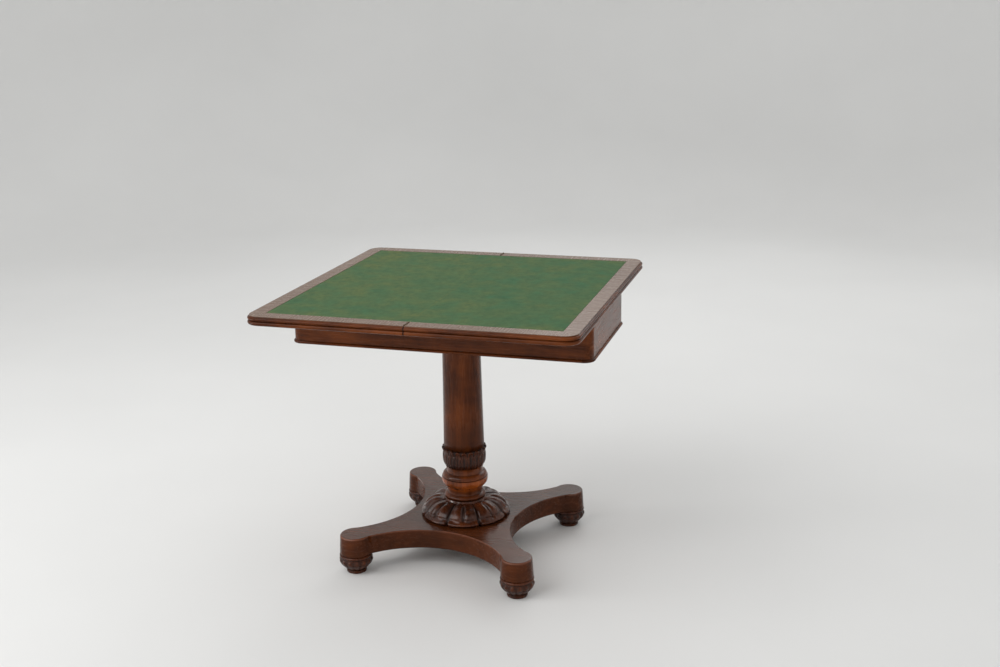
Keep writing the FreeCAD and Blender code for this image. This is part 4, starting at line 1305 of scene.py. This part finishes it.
@dataclass
class Foot:
    """A turned foot with lobes on its cup and leaf tips on its band.

    Attributes:
        workshop: where the finishes come from.
        corner: which corner it stands at.
        bore: radius left free along its axis, in metres.
        sole: radius of its sole, in metres.
        ring, ring_quirk, roll, roll_quirk, cup, cup_quirk, belt, belt_quirk, neck, head: the
            stretches of its profile, from the floor up.
        lobes: lobes round the cup.
        lobe_steps: steps of the turning to each lobe.
        lobe_depth: depth of the grooves between them, in metres.
        lobe_side: shares across a lobe over which it falls off.
        cup_foot, cup_head, belt_foot, belt_head: heights over which their carving sets in and ends.
        tip_side, tip_height, tip_length: shape of the leaf tips on the band.
        tip_depth: their depth as a share of the grooves'.
        quirks: heights of the painted shade lines, in metres.
        line_width: half the width of a painted shade line, in metres.
        core: radius within which nothing is carved, in metres.
        cup_grime, cut_grime: how dark the painted shade in the cup and in the cuts is.
    """

    workshop: Workshop
    corner: str
    bore: float = 0.5 * MM
    sole: float = 24.5 * MM
    ring: Curve = Curve(26.3 * MM, 4.2 * MM, -1.3 * MM, 6)
    ring_quirk: Curve = Curve(25.5 * MM, 4.7 * MM)
    roll: Curve = Curve(24.5 * MM, 9.0 * MM, -2.0 * MM, 8)
    roll_quirk: Curve = Curve(24.9 * MM, 9.6 * MM)
    cup: Curve = Curve(-3.0 * MM, 27.0 * MM, -1.2 * MM, 26)
    cup_quirk: Curve = Curve(-3.4 * MM, 28.0 * MM)
    belt: Curve = Curve(-3.0 * MM, 42.0 * MM, -3.0 * MM, 22)
    belt_quirk: Curve = Curve(-4.2 * MM, 43.0 * MM)
    neck: Curve = Curve(-4.2 * MM, 44.0 * MM)
    head: Curve = Curve(-4.4 * MM, 0.0, -3.0 * MM, 10)
    lobes: int = 14
    lobe_steps: int = 10
    lobe_depth: float = 2.8 * MM
    lobe_side: Span = (0.55, 1.0)
    cup_foot: Span = (10.0 * MM, 13.0 * MM)
    cup_head: Span = (25.0 * MM, 27.0 * MM)
    belt_foot: Span = (28.0 * MM, 30.0 * MM)
    belt_head: Span = (40.0 * MM, 42.0 * MM)
    tip_side: Span = (0.35, 0.95)
    tip_height: float = 31.0 * MM
    tip_length: float = 24.0 * MM
    tip_depth: float = 0.8
    quirks: tuple[float, ...] = (9.8 * MM, 28.0 * MM, 43.5 * MM)
    line_width: float = 1.2 * MM
    core: float = 20.0 * MM
    cup_grime: float = 0.4
    cut_grime: float = 0.8

    def build(self) -> None:
        """Turns the foot, carves it at the origin, moves it to its corner and dresses it."""
        node = f"foot_{self.corner}"
        low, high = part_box(node)
        middle = (low + high) / 2
        blank = Blank(self.bore, widest=(high.x - low.x) / 2, foot=0.0, crown=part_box("platform")[0].z)
        lower = (self.ring, self.ring_quirk, self.roll, self.roll_quirk, self.cup, self.cup_quirk)
        upper = (self.belt, self.belt_quirk, self.neck, self.head)
        profile = blank.profile(self.sole, lower + upper)
        piece = turned_blank(f"{node}_carved", profile, self.lobe_steps * self.lobes)
        carve(piece, self.relief)
        piece.data.transform(Matrix.Translation((middle.x, middle.y, 0.0)))
        soften(piece, Crease.TURNED)
        stand_in(piece, node, "base", self.workshop.wood(LEAFAGE, Grain.UPRIGHT))

    def relief(self, angle: float, radius: float, height: float) -> tuple[float, float, float]:
        """Upright lobes on the cup and leaf tips on the band, with painted shade in the quirks, the cup and
        the cuts.

        Args:
            angle: angle about the foot's axis, in radians.
            radius: distance from that axis.
            height: height above the floor.

        Returns:
            The outward move, the upward move and the painted shade.
        """
        if radius <= self.core:
            return 0.0, 0.0, 0.0
        across = off_middle(angle * self.lobes / FULL_TURN)
        cup = plateau(self.cup_foot, self.cup_head, height)
        belt = plateau(self.belt_foot, self.belt_head, height)
        tip = smooth_step(*self.tip_side, across + (height - self.tip_height) / self.tip_length)
        # Painted shade in the quirks, the cup and the cuts.
        lines = max(bump(height - quirk, self.line_width) for quirk in self.quirks)
        cut = cup * smooth_step(*self.lobe_side, across) + self.tip_depth * belt * tip
        return -self.lobe_depth * cut, 0.0, max(lines, self.cup_grime * cup, self.cut_grime * cut)


@dataclass
class Platform:
    """The concave-sided platform and its four turned feet.

    Attributes:
        workshop: where the finishes come from.
        edge_round: how far the lower edges of the platform are rounded off, in metres.
    """

    workshop: Workshop
    edge_round: float = 4.4 * MM

    def build(self) -> None:
        """Polishes the platform and makes the feet."""
        finish = replace(LEVEL, polish_level=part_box("platform")[1].z)
        polished_copy("platform", "base", self.workshop.wood(finish, Grain.ALONG_X), self.edge_round)
        for corner in CORNERS:
            Foot(self.workshop, corner).build()
        LOG.info("platform polished and feet carved")


@dataclass(frozen=True)
class Lamp:
    """A soft square lamp.

    Attributes:
        name: name of the lamp.
        spot: where it hangs.
        side: side of its square, in metres.
        power: its power in watts.
    """

    name: str
    spot: tuple[float, float, float]
    side: float
    power: float


@dataclass
class Studio:
    """Pale floor, soft lamps and the camera at the photographed angle.

    Attributes:
        azimuth, elevation, roll: the camera's angles, in degrees.
        distance: from the camera to the point it aims at, in metres.
        aim: that point.
        focal_pixels: focal length for an image of image_width pixels.
        image_width: width of the photographed frame in pixels.
        sensor: sensor width in millimetres.
        room: radius of the round floor, in metres.
        wall: height of the wall round it, in metres.
        cove: how far the floor curves up into the wall, in metres.
        room_sides, cove_steps: how finely the floor's edge and that curve are drawn.
        floor_tones: the two tones of the floor.
        floor_roughness: how dull it is.
        sky, sky_strength: colour and strength of the even light.
        lamps: the lamps round the table.
    """

    azimuth: float = 16.99
    elevation: float = 15.86
    roll: float = -1.11
    distance: float = 3.1998
    aim: tuple[float, float, float] = (0.10747, 0.0, 0.61611)
    focal_pixels: float = 1228.92
    image_width: float = 1000.0
    sensor: float = 36.0
    room: float = 7.0
    wall: float = 4.5
    cove: float = 2.4
    room_sides: int = 128
    cove_steps: int = 16
    floor_tones: tuple[Colour, Colour] = ((0.75, 0.75, 0.74, 1.0), (0.79, 0.79, 0.78, 1.0))
    floor_roughness: float = 0.8
    sky: Colour = (0.80, 0.80, 0.80, 1.0)
    sky_strength: float = 0.83
    lamps: tuple[Lamp, ...] = (
        Lamp("key_lamp", (-2.2, -2.6, 3.6), 3.6, 96.0),
        Lamp("window_lamp", (-3.2, -1.6, 1.2), 0.7, 18.0),
        Lamp("back_lamp", (0.4, 3.2, 3.4), 3.0, 40.0),
    )

    def build(self) -> None:
        """Sets up the view settings, the floor, the lamps and the camera."""
        scene = bpy.context.scene
        scene.view_settings.view_transform = "Standard"
        self.lay_floor()
        self.light_world(scene)
        for lamp in self.lamps:
            self.hang(lamp)
        self.place_camera(scene)
        LOG.info("studio set up")

    def lay_floor(self) -> None:
        """Lays a pale round floor that curves up into a wall, with a gentle unevenness of tone."""
        deselect()
        bpy.ops.mesh.primitive_circle_add(vertices=self.room_sides, radius=self.room, fill_type="NGON")
        floor = new_piece("floor")
        bpy.ops.mesh.region_to_loop()
        bpy.ops.mesh.extrude_edges_move(TRANSFORM_OT_translate={"value": (0.0, 0.0, self.wall)})
        bpy.ops.object.mode_set(mode="OBJECT")
        modify(floor, "BEVEL", width=self.cove, segments=self.cove_steps, limit_method="ANGLE")
        soften(floor, Crease.FLOOR)
        material, wiring, shader, place = new_material("pale_floor")
        tone = wiring.remap(wiring.noise(place, scale=0.7, detail=3.0), (0.3, 0.7))
        colour = wiring.blend(tone, *self.floor_tones)
        wiring.fill(shader, {"Base Color": colour, "Roughness": self.floor_roughness})
        dress(floor, material)
        floor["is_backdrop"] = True

    def light_world(self, scene: bpy.types.Scene) -> None:
        """Fills the scene with even pale light."""
        world = bpy.data.worlds.new("soft_light")
        world.use_nodes = True
        shell = world.node_tree.nodes["Background"]
        shell.inputs["Color"].default_value = self.sky
        shell.inputs["Strength"].default_value = self.sky_strength
        scene.world = world

    def hang(self, lamp: Lamp) -> None:
        """Hangs a lamp so that it faces the table."""
        data = bpy.data.lights.new(lamp.name, "AREA")
        data.size = lamp.side
        data.energy = lamp.power
        hung = bpy.data.objects.new(lamp.name, data)
        hung.location = lamp.spot
        hung.rotation_euler = (Vector(lamp.spot) - Vector(self.aim)).to_track_quat("Z", "Y").to_euler()
        bpy.context.scene.collection.objects.link(hung)

    def place_camera(self, scene: bpy.types.Scene) -> None:
        """Stands the camera where the photograph was taken from."""
        angles = (self.azimuth, self.elevation, self.roll)
        azimuth, elevation, roll = (math.radians(angle) for angle in angles)
        flat = math.cos(elevation)
        back = Vector((math.sin(azimuth) * flat, -math.cos(azimuth) * flat, math.sin(elevation)))
        right = (-back).cross(Vector((0.0, 0.0, 1.0))).normalized()
        up = right.cross(-back)
        leaning_right = right * math.cos(roll) + up * math.sin(roll)
        leaning_up = up * math.cos(roll) - right * math.sin(roll)
        data = bpy.data.cameras.new("camera")
        data.sensor_width = self.sensor
        data.lens = self.focal_pixels / self.image_width * self.sensor
        camera = bpy.data.objects.new("camera", data)
        turned = Matrix((leaning_right, leaning_up, back)).transposed().to_4x4()
        camera.matrix_world = Matrix.Translation(Vector(self.aim) + back * self.distance) @ turned
        scene.collection.objects.link(camera)
        scene.camera = camera


def main() -> None:
    """Builds the table's sub-assemblies in order, then the studio round them."""
    logging.basicConfig(level=logging.INFO, format="%(name)s: %(message)s")
    workshop = Workshop()
    table = (FoldingTop(workshop), FriezeBox(workshop), Column(workshop), Platform(workshop))
    for assembly in (*table, Studio()):
        assembly.build()
    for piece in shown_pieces():
        LOG.info("piece %s", piece.name)


if __name__ == "__main__":
    main()
